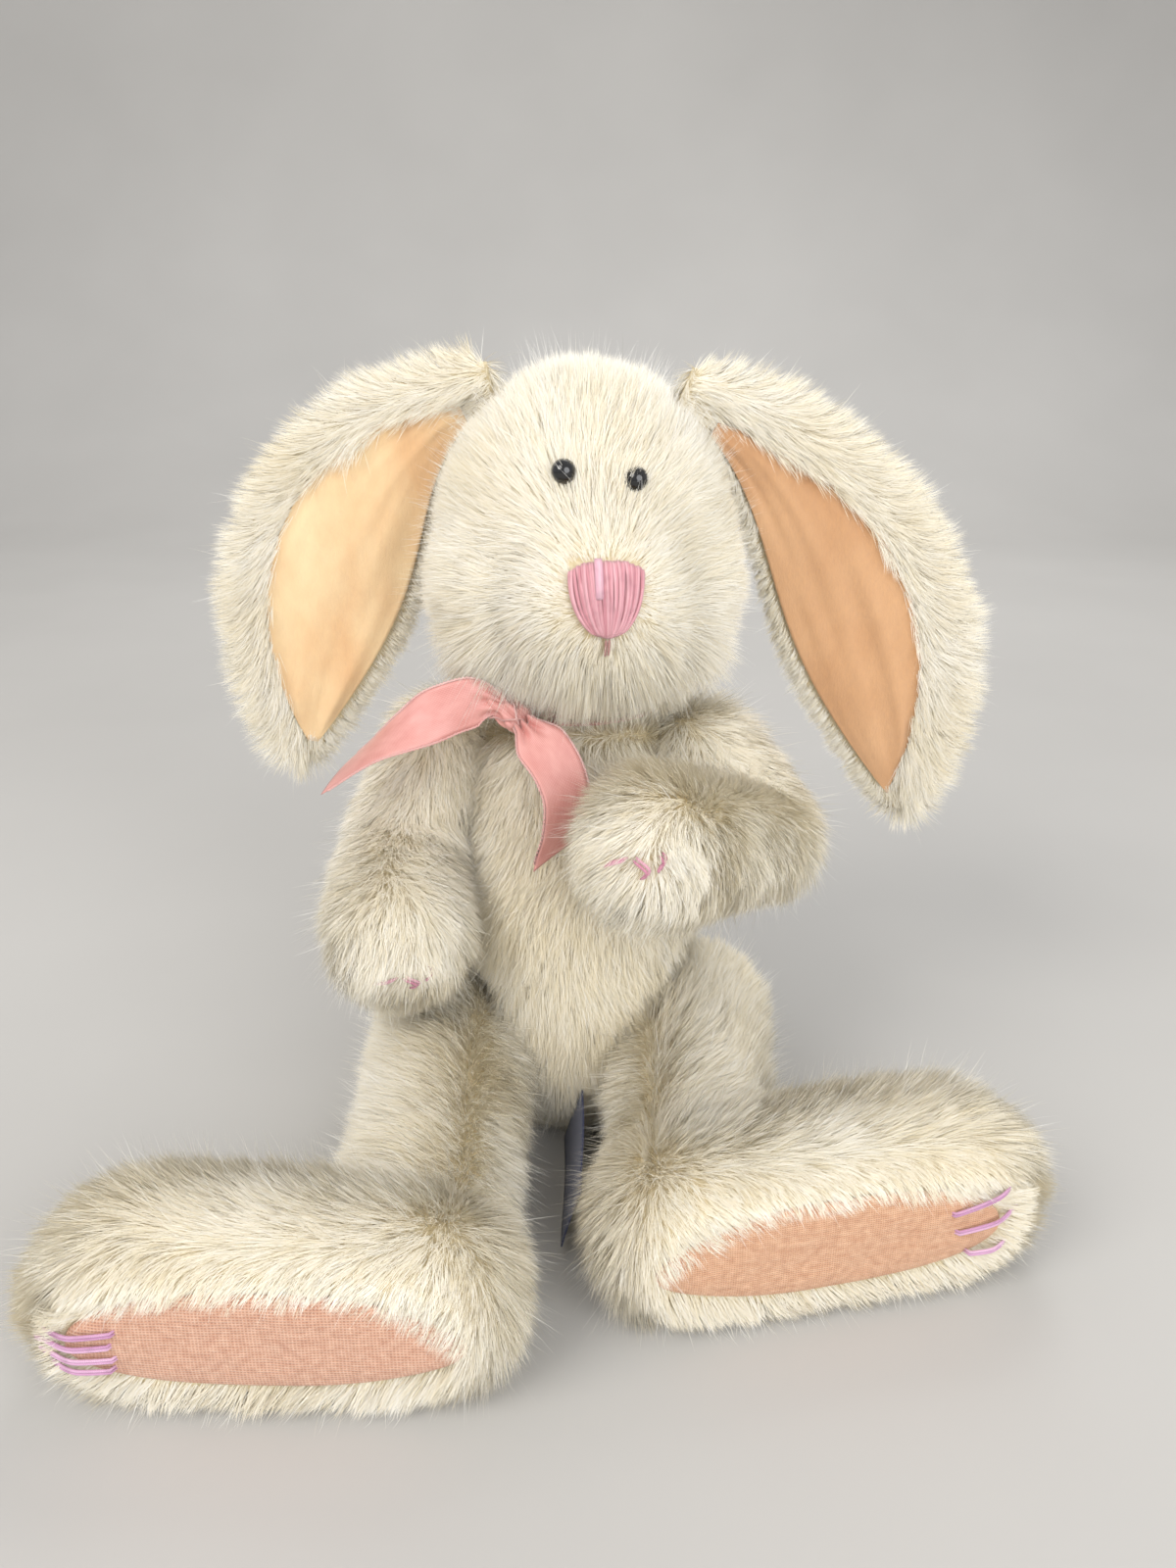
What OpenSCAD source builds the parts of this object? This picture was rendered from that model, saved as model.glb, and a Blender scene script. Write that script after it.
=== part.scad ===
/* [Fabric] */
// Thickness of the backing fabric of every sewn cover
cover_wall = 1.6; // [1.2:0.1:2]
// Room between a cover and its stuffing
stuffing_gap = 0.15; // [0.15:0.05:0.25]
// Gap between two fabric faces that meet at a disc joint
face_gap = 0.4; // [0.3:0.1:0.6]

/* [Torso] */
// Angle that the torso leans back from upright
torso_lean = 15; // [12:1:17]
// Radius of the seat end of the torso
seat_r = 26; // [25:0.5:27]
// Radius of the belly
belly_r = 32; // [30:0.5:33]
// Radius of the chest
chest_r = 29; // [28:0.5:30]
// Distance along the torso from the seat centre to the belly centre
belly_rise = 36; // [34:1:40]
// Distance along the torso from the seat centre to the chest centre
chest_rise = 80; // [78:1:82]
// Distance along the torso from the seat centre to the flat of the neck
neck_rise = 97; // [95:1:98]
// Radius of the short round tail
tail_r = 12; // [9:1:14]

/* [Head] */
// Radius of the skull
skull_r = 34; // [32:1:35]
// Radius of each cheek
cheek_r = 25; // [22:1:26]
// Radius of the muzzle
muzzle_r = 21; // [19:1:22]
// Radius of the neck end of the head
neck_r = 17; // [16:1:19]
// Angle that the face is turned to the bunny's left
head_turn = 7; // [0:1:12]
// Diameter of each bead eye
eye_d = 6; // [5:0.5:7]
// Distance between the eyes
eye_spacing = 17; // [14:1:20]

/* [Ears] */
// Half the width of an ear at its widest
ear_half_w = 22.5; // [18:0.5:24]
// Thickness of the furry back of an ear
ear_cover_t = 3; // [2:0.5:5]
// Thickness of the ear lining
ear_lining_t = 1; // [0.8:0.2:1.6]
// Radius of the curve that cups each ear
ear_cup_r = 110; // [90:5:140]

/* [Arms] */
// Radius of the shoulder end of an arm
shoulder_r = 15; // [14.5:0.5:16]
// Radius of an arm at the elbow
elbow_r = 14.5; // [12:0.5:15]
// Radius of a paw
paw_r = 17; // [14:0.5:18]

/* [Legs] */
// Radius of the hip end of a leg
hip_r = 18; // [17:0.5:18.5]
// Radius of a leg at the ankle
ankle_r = 16.5; // [14:0.5:17]
// Radius of a foot
foot_r = 21; // [20:0.5:22]
// Distance from the middle of a foot to its flat sole
sole_depth = 14; // [12:0.5:16]
// Radius of the two ends of a foot pad
pad_r = 13.5; // [11:0.5:14]
// Thickness of a foot pad
pad_t = 1; // [0.8:0.1:1.4]

/* [Disc joints] */
// Radius of the shoulder and hip discs
disc_r = 9; // [8:0.5:9]
// Radius of the neck discs
neck_disc_r = 13; // [12:0.5:13.5]
// Thickness of a disc
disc_t = 2; // [1.5:0.25:2.5]
// Radius of a joint stem
stem_r = 2.5; // [2:0.25:3]
// Radial running clearance of a stem in its holes
stem_clear = 0.08; // [0.05:0.01:0.1]
// Thickness of a push-on lock washer
lock_t = 0.6; // [0.4:0.1:1]

/* [Ribbon and tag] */
// Width of the satin ribbon
ribbon_w = 12.7; // [9:0.1:14]
// Thickness of the ribbon as it lies, edges and puckers included
ribbon_t = 0.8; // [0.6:0.1:1.2]
// Inner radius of the ribbon loop round the neck
loop_r = 27; // [26.5:0.5:28]
// Width of the sewn-in tag
tag_w = 18; // [14:1:18]
// Length of the sewn-in tag
tag_l = 42; // [30:1:44]

/* [Hidden] */
$fn = 48;
EPS = 0.01;
TUCK = 0.1;
BIG = 400;
// A cone between two balls is this share of their radii, so that it starts inside both
CONE_SHARE = 0.96;

// Colours
PILE = [0.92, 0.88, 0.79];
SUEDE = [0.84, 0.66, 0.5];
LINEN = [0.87, 0.68, 0.56];
SATIN = [0.87, 0.56, 0.54];
NOSE_PINK = [0.84, 0.57, 0.65];
LILAC = [0.86, 0.68, 0.81];
BEAD = [0.03, 0.03, 0.03];
FIBRE = [0.97, 0.97, 0.95];
DISC = [0.9, 0.9, 0.87];
STEEL = [0.7, 0.7, 0.72];
NAVY = [0.11, 0.14, 0.25];

// Sides of the body: the bunny faces -Y, so its left is +X; a pair of values is for the right and the left
LEFT = 1;
RIGHT = -1;
function pick(side, pair) = side == LEFT ? pair[1] : pair[0];
function unit(v) = v / norm(v);

// Torso axis, from the seat up to the neck
SEAT = [0, 0, 22];
UP_TORSO = [0, sin(torso_lean), cos(torso_lean)];
BELLY = SEAT + belly_rise * UP_TORSO;
CHEST = SEAT + chest_rise * UP_TORSO;
NECK = SEAT + neck_rise * UP_TORSO;

// Tail: the middle of its flat base, a little off the torso's back
TAIL_WAY = [0, cos(torso_lean), -sin(torso_lean)];
TAIL_RISE = 8;
TAIL_OUT = 27.8;
TAIL_BALL = 7;
TAIL_AT = SEAT + TAIL_RISE * UP_TORSO + TAIL_OUT * TAIL_WAY;

// Disc joints: the middle of each flat on the torso, and the way out of the torso
SHOULDER_OUT = 26;
SHOULDER_RISE = 3;
SHOULDER_BALL = 9.5;
HIP_OUT = 20.5;
HIP_BALL = 13;
HIP_Z = 24;
SHOULDER_RECESS = 6;
HIP_RECESS = 8;
SHOULDER_YAW = [5, 15];
HIP_YAW = [4, 8];
HIP_Y = [-2, 3];
function sideways(side, forward_angle) = [side * cos(forward_angle), -sin(forward_angle), 0];
function shoulder_way(side) = sideways(side, pick(side, SHOULDER_YAW));
function shoulder_at(side) = CHEST + [0, 0, SHOULDER_RISE] + SHOULDER_OUT * shoulder_way(side);
function hip_way(side) = sideways(side, pick(side, HIP_YAW));
function hip_at(side) = [side * HIP_OUT, pick(side, HIP_Y), HIP_Z];

// Limb routes from the joint outward, as ball centres
ELBOW = [[-47, 5, 80], [50, -3, 84]];
PAW = [[-45, -25, 68], [20, -39, 98]];
HEEL = [[-33, -99, 20], [28, -78, 20]];
TOE = [[-91, -98, 20], [86, -59, 20]];
function arm_route(side) = [
    shoulder_at(side) + (face_gap + SHOULDER_BALL) * shoulder_way(side),
    pick(side, ELBOW),
    pick(side, PAW)
];
function leg_route(side) = [
    hip_at(side) + (face_gap + HIP_BALL) * hip_way(side),
    pick(side, HEEL),
    pick(side, TOE)
];

// A sole looks sideways out of its foot, level with the ground
function foot_angle(side) =
    let (way = side * (leg_route(side)[2] - leg_route(side)[1]))
    atan2(way[1], way[0]);
function foot_length(side) = norm(leg_route(side)[2] - leg_route(side)[1]);
function sole_way(side) = [sin(foot_angle(side)), -cos(foot_angle(side)), 0];

// Stems reach from the disc in the limb, through both fabrics, to past the lock washer
STEM_END = 1;
STEM_L = 2 * disc_t + 3 * TUCK + 2 * cover_wall + face_gap + lock_t + STEM_END;
HOLE_R = stem_r + stem_clear;
LOCK_R = 5;
DISC_ROOM = 0.6;

// Face, measured from the middle of the skull
SKULL = [3, 18, 166];
CHEEK_AT = [13, -5, -15];
MUZZLE_AT = [0, -25, -15];
EYE_AT = [0, -31, 15];
EYE_TILT = 1;
EYE_SHANK_R = 1.1;
EYE_SHANK_L = 10;
EYE_WASHER_R = 3.5;
EYE_WASHER_T = 1;
NOSE_RISE = 4.5;
NOSE_W = 16;
NOSE_H = 19;
NOSE_T = 1.6;
NOSE_FLARE = 0.35;
NOSE_CORNERS = 24;
MOUTH_TILT = 25;
MOUTH_L = 5;
THREAD_R = 0.7;

// Ears: each centre line is a quadratic curve in the XZ plane, root to tip
EAR_Y = 27;
EAR_STEPS = 14;
EAR_ROOT = 6;
LINING_ROOT = 1;
EAR_RIM = 5;
EAR_MIDDLE = 0.5;
EAR_TIP = 0.2;
EAR_LOW_BULGE = 1.5;
EAR_FULLNESS = 0.8;
EAR_LINES = [[[-20, 199], [-70, 184], [-79, 94]], [[28, 198], [84, 172], [97, 78]]];

// Stitches
STITCH_TURN = 15;
CLAW_L = 6;
TOE_STITCH_L = 14;
TOE_STITCH_GAP = 6;
PAW_LOOKS = [[0.3, -0.9, -0.3], [-0.2, -0.95, 0.2]];

// Ribbon and tag
LOOP_AT = [0, 23, 116];
LOOP_H = 5.5;
KNOT = [-16.8, -7.1, 122];
KNOT_R = 5;
TAIL_SAG = 4;
STRIP_STEPS = 6;
RIGHT_TAIL = [[-23, -8, 123], [-62, -14, 102]];
RIGHT_TAIL_ACROSS = [-0.3, -0.2, 1];
LEFT_TAIL = [[-13, -14, 118], [-5, -27, 86]];
LEFT_TAIL_ACROSS = [1, 0.1, 0.3];
TAG_T = 0.6;
TAG_ROLL = 16;
TAG_AT = [0, -27, 11.5];

// Turns what is drawn along +Z at the origin to point along way, at place
module aim(place, way) {
    translate(place)
        rotate([0, acos(way[2] / norm(way)), atan2(way[1], way[0])])
            children();
}

// Everything on the far side of a plane through place
module beyond(place, way) {
    aim(place, way)
        translate([-BIG / 2, -BIG / 2, 0])
            cube(BIG);
}

// Everything under a level inset above the ground
module underground(inset) {
    beyond([0, 0, inset], [0, 0, -1]);
}

// Turns what is drawn at the origin: +Z points along way, and +X lies on the side of toward
module turn_to(place, way, toward) {
    z = unit(way);
    y = unit(cross(z, toward));
    x = cross(y, z);
    multmatrix([
        [x[0], y[0], z[0], place[0]],
        [x[1], y[1], z[1], place[1]],
        [x[2], y[2], z[2], place[2]],
        [0, 0, 0, 1]
    ])
        children();
}

// A ball moved in by inset, with its poles along way and its seam on the side of toward
module ball(place, r, inset, way, toward) {
    turn_to(place, way, toward)
        sphere(r = r - inset);
}

// A cone from the middle of one ball to the middle of the next, inside both
module link(from, to, r1, r2, inset, toward) {
    turn_to(from, to - from, toward)
        cylinder(h = norm(to - from), r1 = CONE_SHARE * (r1 - inset), r2 = CONE_SHARE * (r2 - inset));
}

// ---- Disc joints ----

// Disc with a stem: the disc lies inside the limb, the stem points into the torso
module stem_disc(place, way, r) {
    color(DISC)
        aim(place + (face_gap + cover_wall + TUCK + disc_t) * way, -way) {
            cylinder(h = disc_t, r = r);
            cylinder(h = STEM_L, r = stem_r);
        }
}

// Ring lying behind the torso's fabric, depth further in along the stem
module ring_on_stem(place, way, depth, r, hole_r, t) {
    aim(place - (cover_wall + depth) * way, -way)
        difference() {
            cylinder(h = t, r = r);
            translate([0, 0, -EPS])
                cylinder(h = t + 2 * EPS, r = hole_r);
        }
}

module torso_washer(place, way, r) {
    color(DISC)
        ring_on_stem(place, way, TUCK, r, HOLE_R, disc_t);
}

module lock_washer(place, way) {
    color(STEEL)
        ring_on_stem(place, way, 2 * TUCK + disc_t, LOCK_R, stem_r + EPS, lock_t);
}

// Hole for a stem through the fabric on both sides of a joint
module stem_hole(place, way) {
    aim(place - 2 * cover_wall * way, way)
        cylinder(h = 4 * cover_wall + face_gap, r = HOLE_R);
}

// Room in the stuffing of a limb for its disc
module disc_room(place, way, r) {
    aim(place, way)
        cylinder(h = face_gap + cover_wall + 2 * TUCK + disc_t, r = r + DISC_ROOM);
}

// Room in the torso's stuffing for a washer, a lock washer and the stem's end
module washer_room(place, way, r) {
    aim(place, -way)
        cylinder(h = STEM_L, r = r + DISC_ROOM);
}

// ---- Torso ----

module torso_flats(inset) {
    for (side = [RIGHT, LEFT]) {
        aim(shoulder_at(side) - inset * shoulder_way(side), shoulder_way(side))
            cylinder(h = BIG, r = shoulder_r + SHOULDER_RECESS + inset);
        aim(hip_at(side) - inset * hip_way(side), hip_way(side))
            cylinder(h = BIG, r = hip_r + HIP_RECESS + inset);
    }
    beyond(NECK - inset * UP_TORSO, UP_TORSO);
    underground(inset);
}

module torso_form(inset) {
    difference() {
        union() {
            translate(SEAT)
                sphere(r = seat_r - inset);
            translate(BELLY)
                sphere(r = belly_r - inset);
            translate(CHEST)
                sphere(r = chest_r - inset);
            aim(SEAT, UP_TORSO)
                cylinder(h = belly_rise,
                    r1 = CONE_SHARE * (seat_r - inset),
                    r2 = CONE_SHARE * (belly_r - inset));
            aim(BELLY, UP_TORSO)
                cylinder(h = chest_rise - belly_rise,
                    r1 = CONE_SHARE * (belly_r - inset),
                    r2 = CONE_SHARE * (chest_r - inset));
        }
        torso_flats(inset);
    }
}

module torso_cover() {
    color(PILE)
        difference() {
            torso_form(0);
            torso_form(cover_wall);
            for (side = [RIGHT, LEFT]) {
                stem_hole(shoulder_at(side), shoulder_way(side));
                stem_hole(hip_at(side), hip_way(side));
            }
            stem_hole(NECK, UP_TORSO);
        }
}

module torso_stuffing() {
    color(FIBRE)
        difference() {
            torso_form(cover_wall + stuffing_gap);
            for (side = [RIGHT, LEFT]) {
                washer_room(shoulder_at(side), shoulder_way(side), disc_r);
                washer_room(hip_at(side), hip_way(side), disc_r);
            }
            washer_room(NECK, UP_TORSO, neck_disc_r);
        }
}

// Round tail sewn on low at the back: a ball turned about TAIL_WAY, cut flat where it meets the torso
module tail_ball(outer, inner) {
    aim(TAIL_AT, TAIL_WAY)
        rotate_extrude()
            intersection() {
                translate([0, TAIL_BALL])
                    difference() {
                        circle(r = outer);
                        circle(r = inner);
                    }
                square(BIG);
            }
}

module tail_cover() {
    color(PILE)
        tail_ball(tail_r, tail_r - cover_wall);
}

module tail_stuffing() {
    color(FIBRE)
        tail_ball(tail_r - cover_wall - stuffing_gap, 0);
}

// ---- Head ----

// Draws its children on the face, which is turned a little to the bunny's left
module face(at) {
    translate(SKULL)
        rotate([0, 0, head_turn])
            translate(at)
                children();
}

module head_form(inset) {
    difference() {
        union() {
            face([0, 0, 0])
                sphere(r = skull_r - inset);
            for (side = [RIGHT, LEFT])
                face([side * CHEEK_AT[0], CHEEK_AT[1], CHEEK_AT[2]])
                    sphere(r = cheek_r - inset);
            face(MUZZLE_AT)
                sphere(r = muzzle_r - inset);
            aim(NECK, UP_TORSO)
                cylinder(h = skull_r, r = neck_r - inset);
        }
        beyond(NECK + (face_gap + inset) * UP_TORSO, -UP_TORSO);
    }
}

// Draws its children at an eye, with +Z pointing into the head
module at_eye(side) {
    face(EYE_AT + side * [eye_spacing / 2, 0, -EYE_TILT])
        rotate([-90, 0, 0])
            children();
}

// Bead with its shank
module eye(side, room) {
    at_eye(side) {
        sphere(d = eye_d + room);
        cylinder(h = EYE_SHANK_L + room, r = EYE_SHANK_R + room);
    }
}

module bead_eye(side) {
    color(BEAD)
        eye(side, 0);
}

module eye_washer(side) {
    color(STEEL)
        at_eye(side)
            translate([0, 0, EYE_SHANK_L - EYE_WASHER_T - TUCK])
                difference() {
                    cylinder(h = EYE_WASHER_T, r = EYE_WASHER_R);
                    translate([0, 0, -EPS])
                        cylinder(h = EYE_WASHER_T + 2 * EPS, r = EYE_SHANK_R + EPS);
                }
}

module head_cover() {
    color(PILE)
        difference() {
            head_form(0);
            head_form(cover_wall);
            stem_hole(NECK, UP_TORSO);
            eye(RIGHT, TUCK);
            eye(LEFT, TUCK);
        }
}

module head_stuffing() {
    color(FIBRE)
        difference() {
            head_form(cover_wall + stuffing_gap);
            disc_room(NECK, UP_TORSO, neck_disc_r);
            for (side = [RIGHT, LEFT])
                at_eye(side)
                    cylinder(h = EYE_SHANK_L + DISC_ROOM, r = EYE_WASHER_R + DISC_ROOM);
        }
}

// A circle that widens upward and narrows to its lower end
function nose_corner(a) = [NOSE_W / 2 * cos(a) * (1 + NOSE_FLARE * sin(a)), NOSE_H / 2 * sin(a)];

module nose_stitching() {
    color(NOSE_PINK)
        difference() {
            intersection() {
                face(MUZZLE_AT)
                    sphere(r = muzzle_r + NOSE_T);
                face(MUZZLE_AT + [0, 0, NOSE_RISE])
                    rotate([90, 0, 0])
                        linear_extrude(2 * muzzle_r)
                            polygon([for (i = [1 : NOSE_CORNERS]) nose_corner(360 * i / NOSE_CORNERS)]);
            }
            face(MUZZLE_AT)
                sphere(r = muzzle_r + TUCK);
            face([0, 0, 0])
                sphere(r = skull_r + TUCK);
        }
}

module mouth_stitch() {
    color(NOSE_PINK)
        face(MUZZLE_AT)
            rotate([MOUTH_TILT, 0, 0])
                translate([0, -muzzle_r - THREAD_R - TUCK, -MOUTH_L / 2])
                    cylinder(h = MOUTH_L, r = THREAD_R);
}

// ---- Ears ----

function along(line, t) = pow(1 - t, 2) * line[0] + 2 * t * (1 - t) * line[1] + t * t * line[2];
function heading(line, t) = unit((1 - t) * (line[1] - line[0]) + t * (line[2] - line[1]));
function ear_w(t, half, root) = root * pow(1 - t, 2)
    + half * pow(sin(180 * pow(t, EAR_LOW_BULGE)), EAR_FULLNESS);
function ear_edge(line, half, root, sign) = [for (i = [0 : EAR_STEPS])
    let (t = i / (EAR_STEPS + EAR_TIP), way = heading(line, t))
        along(line, t) + sign * ear_w(t, half, root) * [-way[1], way[0]]];

module ear_outline(line, half, root) {
    far = ear_edge(line, half, root, 1);
    polygon(concat(ear_edge(line, half, root, -1), [for (i = [EAR_STEPS : -1 : 0]) far[i]]));
}

// A layer of an ear between two upright cylinders, front and back measured from its middle
module ear_layer(side, half, root, front, back) {
    line = pick(side, EAR_LINES);
    intersection() {
        translate([0, EAR_Y + ear_cup_r, 0])
            rotate([90, 0, 0])
                linear_extrude(2 * ear_cup_r)
                    ear_outline(line, half, root);
        translate([along(line, EAR_MIDDLE)[0], EAR_Y - ear_cup_r, 0])
            difference() {
                cylinder(h = BIG, r = ear_cup_r + back);
                translate([0, 0, -EPS])
                    cylinder(h = BIG + 2 * EPS, r = ear_cup_r + front);
            }
    }
}

module ear_cover(side) {
    color(PILE)
        ear_layer(side, ear_half_w, EAR_ROOT, 0, ear_cover_t);
}

module ear_lining(side) {
    color(SUEDE)
        ear_layer(side, ear_half_w - EAR_RIM, LINING_ROOT, -ear_lining_t - TUCK, -TUCK);
}

// ---- Arms ----

module arm_form(side, inset) {
    route = arm_route(side);
    way = shoulder_way(side);
    upper = route[1] - route[0];
    lower = route[2] - route[1];
    difference() {
        union() {
            ball(route[0], shoulder_r, inset, way, upper);
            link(route[0], route[1], shoulder_r, elbow_r, inset, cross(way, upper));
        }
        beyond(shoulder_at(side) + (face_gap + inset) * way, -way);
    }
    ball(route[1], elbow_r, inset, lower, -upper);
    link(route[1], route[2], elbow_r, paw_r, inset, upper);
    ball(route[2], paw_r, inset, lower, -upper);
}

module arm_cover(side) {
    color(PILE)
        difference() {
            arm_form(side, 0);
            arm_form(side, cover_wall);
            stem_hole(shoulder_at(side), shoulder_way(side));
        }
}

module arm_stuffing(side) {
    color(FIBRE)
        difference() {
            arm_form(side, cover_wall + stuffing_gap);
            disc_room(shoulder_at(side), shoulder_way(side), disc_r);
        }
}

// Three long stitches fanned over the end of the paw
module claw_stitches(side) {
    look = unit(pick(side, PAW_LOOKS));
    color(LILAC)
        for (i = [-1 : 1])
            aim(pick(side, PAW), look)
                rotate([0, STITCH_TURN * i, 0])
                    translate([0, -CLAW_L / 2, paw_r + THREAD_R + TUCK])
                        rotate([-90, 0, 0])
                            cylinder(h = CLAW_L, r = THREAD_R);
}

// ---- Legs ----

module leg_form(side, inset) {
    route = leg_route(side);
    way = hip_way(side);
    shank = route[1] - route[0];
    foot = route[2] - route[1];
    difference() {
        union() {
            ball(route[0], hip_r, inset, way, shank);
            link(route[0], route[1], hip_r, ankle_r, inset, way);
        }
        beyond(hip_at(side) + (face_gap + inset) * way, -way);
    }
    difference() {
        union() {
            ball(route[1], foot_r, inset, -shank, foot);
            link(route[1], route[2], foot_r, foot_r, inset, -sole_way(side));
            ball(route[2], foot_r, inset, foot, sole_way(side));
        }
        beyond(route[1] + (sole_depth - inset) * sole_way(side), sole_way(side));
        underground(inset);
    }
}

module leg_cover(side) {
    color(PILE)
        difference() {
            leg_form(side, 0);
            leg_form(side, cover_wall);
            stem_hole(hip_at(side), hip_way(side));
        }
}

module leg_stuffing(side) {
    color(FIBRE)
        difference() {
            leg_form(side, cover_wall + stuffing_gap);
            disc_room(hip_at(side), hip_way(side), disc_r);
        }
}

// Draws its children on the sole: +X to the left side of the bunny, +Y up, +Z out of the sole
module on_sole(side) {
    translate(leg_route(side)[1] + (sole_depth + TUCK) * sole_way(side))
        rotate([0, 0, foot_angle(side)])
            rotate([90, 0, 0])
                children();
}

module foot_pad(side) {
    length = foot_length(side);
    color(LINEN)
        on_sole(side)
            linear_extrude(pad_t) {
                circle(r = pad_r);
                translate([side * length, 0])
                    circle(r = pad_r);
                translate([side > 0 ? 0 : -length, -pad_r])
                    square([length, 2 * pad_r]);
            }
}

// Three long stitches from the pad over the toe
module toe_stitches(side) {
    color(LILAC)
        on_sole(side)
            for (i = [-1 : 1])
                translate([side * foot_length(side), TOE_STITCH_GAP * i, pad_t + TUCK + THREAD_R])
                    rotate([0, 90, 0])
                        cylinder(h = TOE_STITCH_L, r = THREAD_R, center = true);
}

// ---- Ribbon and tag ----

module ribbon_loop() {
    color(SATIN)
        translate(LOOP_AT)
            difference() {
                cylinder(h = LOOP_H, r = loop_r + ribbon_t);
                translate([0, 0, -EPS])
                    cylinder(h = LOOP_H + 2 * EPS, r = loop_r);
            }
}

module ribbon_knot() {
    color(SATIN)
        translate(KNOT)
            sphere(r = KNOT_R);
}

// A strip from one point to another, bowed by sag, its width near to along
module ribbon_strip(from, to, along_width, sag) {
    run = to - from;
    length = norm(run);
    bow = [for (i = [0 : STRIP_STEPS]) let (t = i / STRIP_STEPS) [length * t, 4 * sag * t * (1 - t)]];
    color(SATIN)
        turn_to(from, cross(run, cross(along_width, run)), run)
            translate([0, 0, -ribbon_w / 2])
                linear_extrude(ribbon_w)
                    polygon(concat(bow, [for (i = [STRIP_STEPS : -1 : 0]) bow[i] + [0, ribbon_t]]));
}

module ribbon_right_tail() {
    ribbon_strip(RIGHT_TAIL[0], RIGHT_TAIL[1], RIGHT_TAIL_ACROSS, TAIL_SAG);
}

module ribbon_left_tail() {
    ribbon_strip(LEFT_TAIL[0], LEFT_TAIL[1], LEFT_TAIL_ACROSS, -TAIL_SAG);
}

module sewn_tag() {
    color(NAVY)
        translate(TAG_AT)
            rotate([0, TAG_ROLL, 0])
                translate([-TAG_T / 2, -tag_l, -tag_w / 2])
                    cube([TAG_T, tag_l, tag_w]);
}

torso_cover();
torso_stuffing();
tail_cover();
tail_stuffing();
sewn_tag();
torso_washer(NECK, UP_TORSO, neck_disc_r);  // neck_washer
torso_washer(shoulder_at(RIGHT), shoulder_way(RIGHT), disc_r);  // right_shoulder_washer
torso_washer(shoulder_at(LEFT), shoulder_way(LEFT), disc_r);  // left_shoulder_washer
torso_washer(hip_at(RIGHT), hip_way(RIGHT), disc_r);  // right_hip_washer
torso_washer(hip_at(LEFT), hip_way(LEFT), disc_r);  // left_hip_washer
ribbon_loop();
ribbon_knot();
ribbon_right_tail();
ribbon_left_tail();
head_cover();
head_stuffing();
bead_eye(RIGHT);  // right_eye
bead_eye(LEFT);  // left_eye
eye_washer(RIGHT);  // right_eye_washer
eye_washer(LEFT);  // left_eye_washer
nose_stitching();
mouth_stitch();
stem_disc(NECK, UP_TORSO, neck_disc_r);  // neck_stem_disc
lock_washer(NECK, UP_TORSO);  // neck_lock_washer
ear_cover(RIGHT);  // right_ear_cover
ear_lining(RIGHT);  // right_ear_lining
ear_cover(LEFT);  // left_ear_cover
ear_lining(LEFT);  // left_ear_lining
arm_cover(RIGHT);  // right_arm_cover
arm_stuffing(RIGHT);  // right_arm_stuffing
claw_stitches(RIGHT);  // right_claw_stitches
stem_disc(shoulder_at(RIGHT), shoulder_way(RIGHT), disc_r);  // right_shoulder_stem_disc
lock_washer(shoulder_at(RIGHT), shoulder_way(RIGHT));  // right_shoulder_lock_washer
arm_cover(LEFT);  // left_arm_cover
arm_stuffing(LEFT);  // left_arm_stuffing
claw_stitches(LEFT);  // left_claw_stitches
stem_disc(shoulder_at(LEFT), shoulder_way(LEFT), disc_r);  // left_shoulder_stem_disc
lock_washer(shoulder_at(LEFT), shoulder_way(LEFT));  // left_shoulder_lock_washer
leg_cover(RIGHT);  // right_leg_cover
leg_stuffing(RIGHT);  // right_leg_stuffing
foot_pad(RIGHT);  // right_foot_pad
toe_stitches(RIGHT);  // right_toe_stitches
stem_disc(hip_at(RIGHT), hip_way(RIGHT), disc_r);  // right_hip_stem_disc
lock_washer(hip_at(RIGHT), hip_way(RIGHT));  // right_hip_lock_washer
leg_cover(LEFT);  // left_leg_cover
leg_stuffing(LEFT);  // left_leg_stuffing
foot_pad(LEFT);  // left_foot_pad
toe_stitches(LEFT);  // left_toe_stitches
stem_disc(hip_at(LEFT), hip_way(LEFT), disc_r);  // left_hip_stem_disc
lock_washer(hip_at(LEFT), hip_way(LEFT));  // left_hip_lock_washer
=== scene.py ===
import math

import bmesh
import bpy
import numpy as np
from mathutils import Matrix, Vector, kdtree, noise


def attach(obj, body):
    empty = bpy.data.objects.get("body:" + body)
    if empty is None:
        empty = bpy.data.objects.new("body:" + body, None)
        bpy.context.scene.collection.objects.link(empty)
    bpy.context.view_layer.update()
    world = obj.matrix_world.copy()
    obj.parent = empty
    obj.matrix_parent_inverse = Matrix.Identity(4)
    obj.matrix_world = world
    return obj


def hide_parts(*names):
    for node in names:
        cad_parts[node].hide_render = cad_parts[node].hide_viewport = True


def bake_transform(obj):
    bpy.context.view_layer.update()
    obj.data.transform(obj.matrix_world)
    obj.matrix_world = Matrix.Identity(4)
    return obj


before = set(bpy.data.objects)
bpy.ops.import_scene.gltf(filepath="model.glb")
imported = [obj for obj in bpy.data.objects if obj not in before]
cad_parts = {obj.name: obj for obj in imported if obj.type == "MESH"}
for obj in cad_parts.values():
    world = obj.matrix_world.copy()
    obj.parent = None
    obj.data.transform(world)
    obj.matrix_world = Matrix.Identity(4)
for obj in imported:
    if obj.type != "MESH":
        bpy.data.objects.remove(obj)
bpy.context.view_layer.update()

# Lengths are in mm in the CAD's frame, until a mesh is made of them. The bunny sits facing -Y, and s or side is
# one of its sides: its right is at -X, its left at +X.

MM = 0.001
RIGHT, LEFT = -1, 1
SIDES = (RIGHT, LEFT)
SIDE_NAME = {RIGHT: "right", LEFT: "left"}
rng = np.random.default_rng(20261)
scene = bpy.context.scene

# ---- Small helpers


def vec(*v):
    return np.array(v, float)


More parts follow.
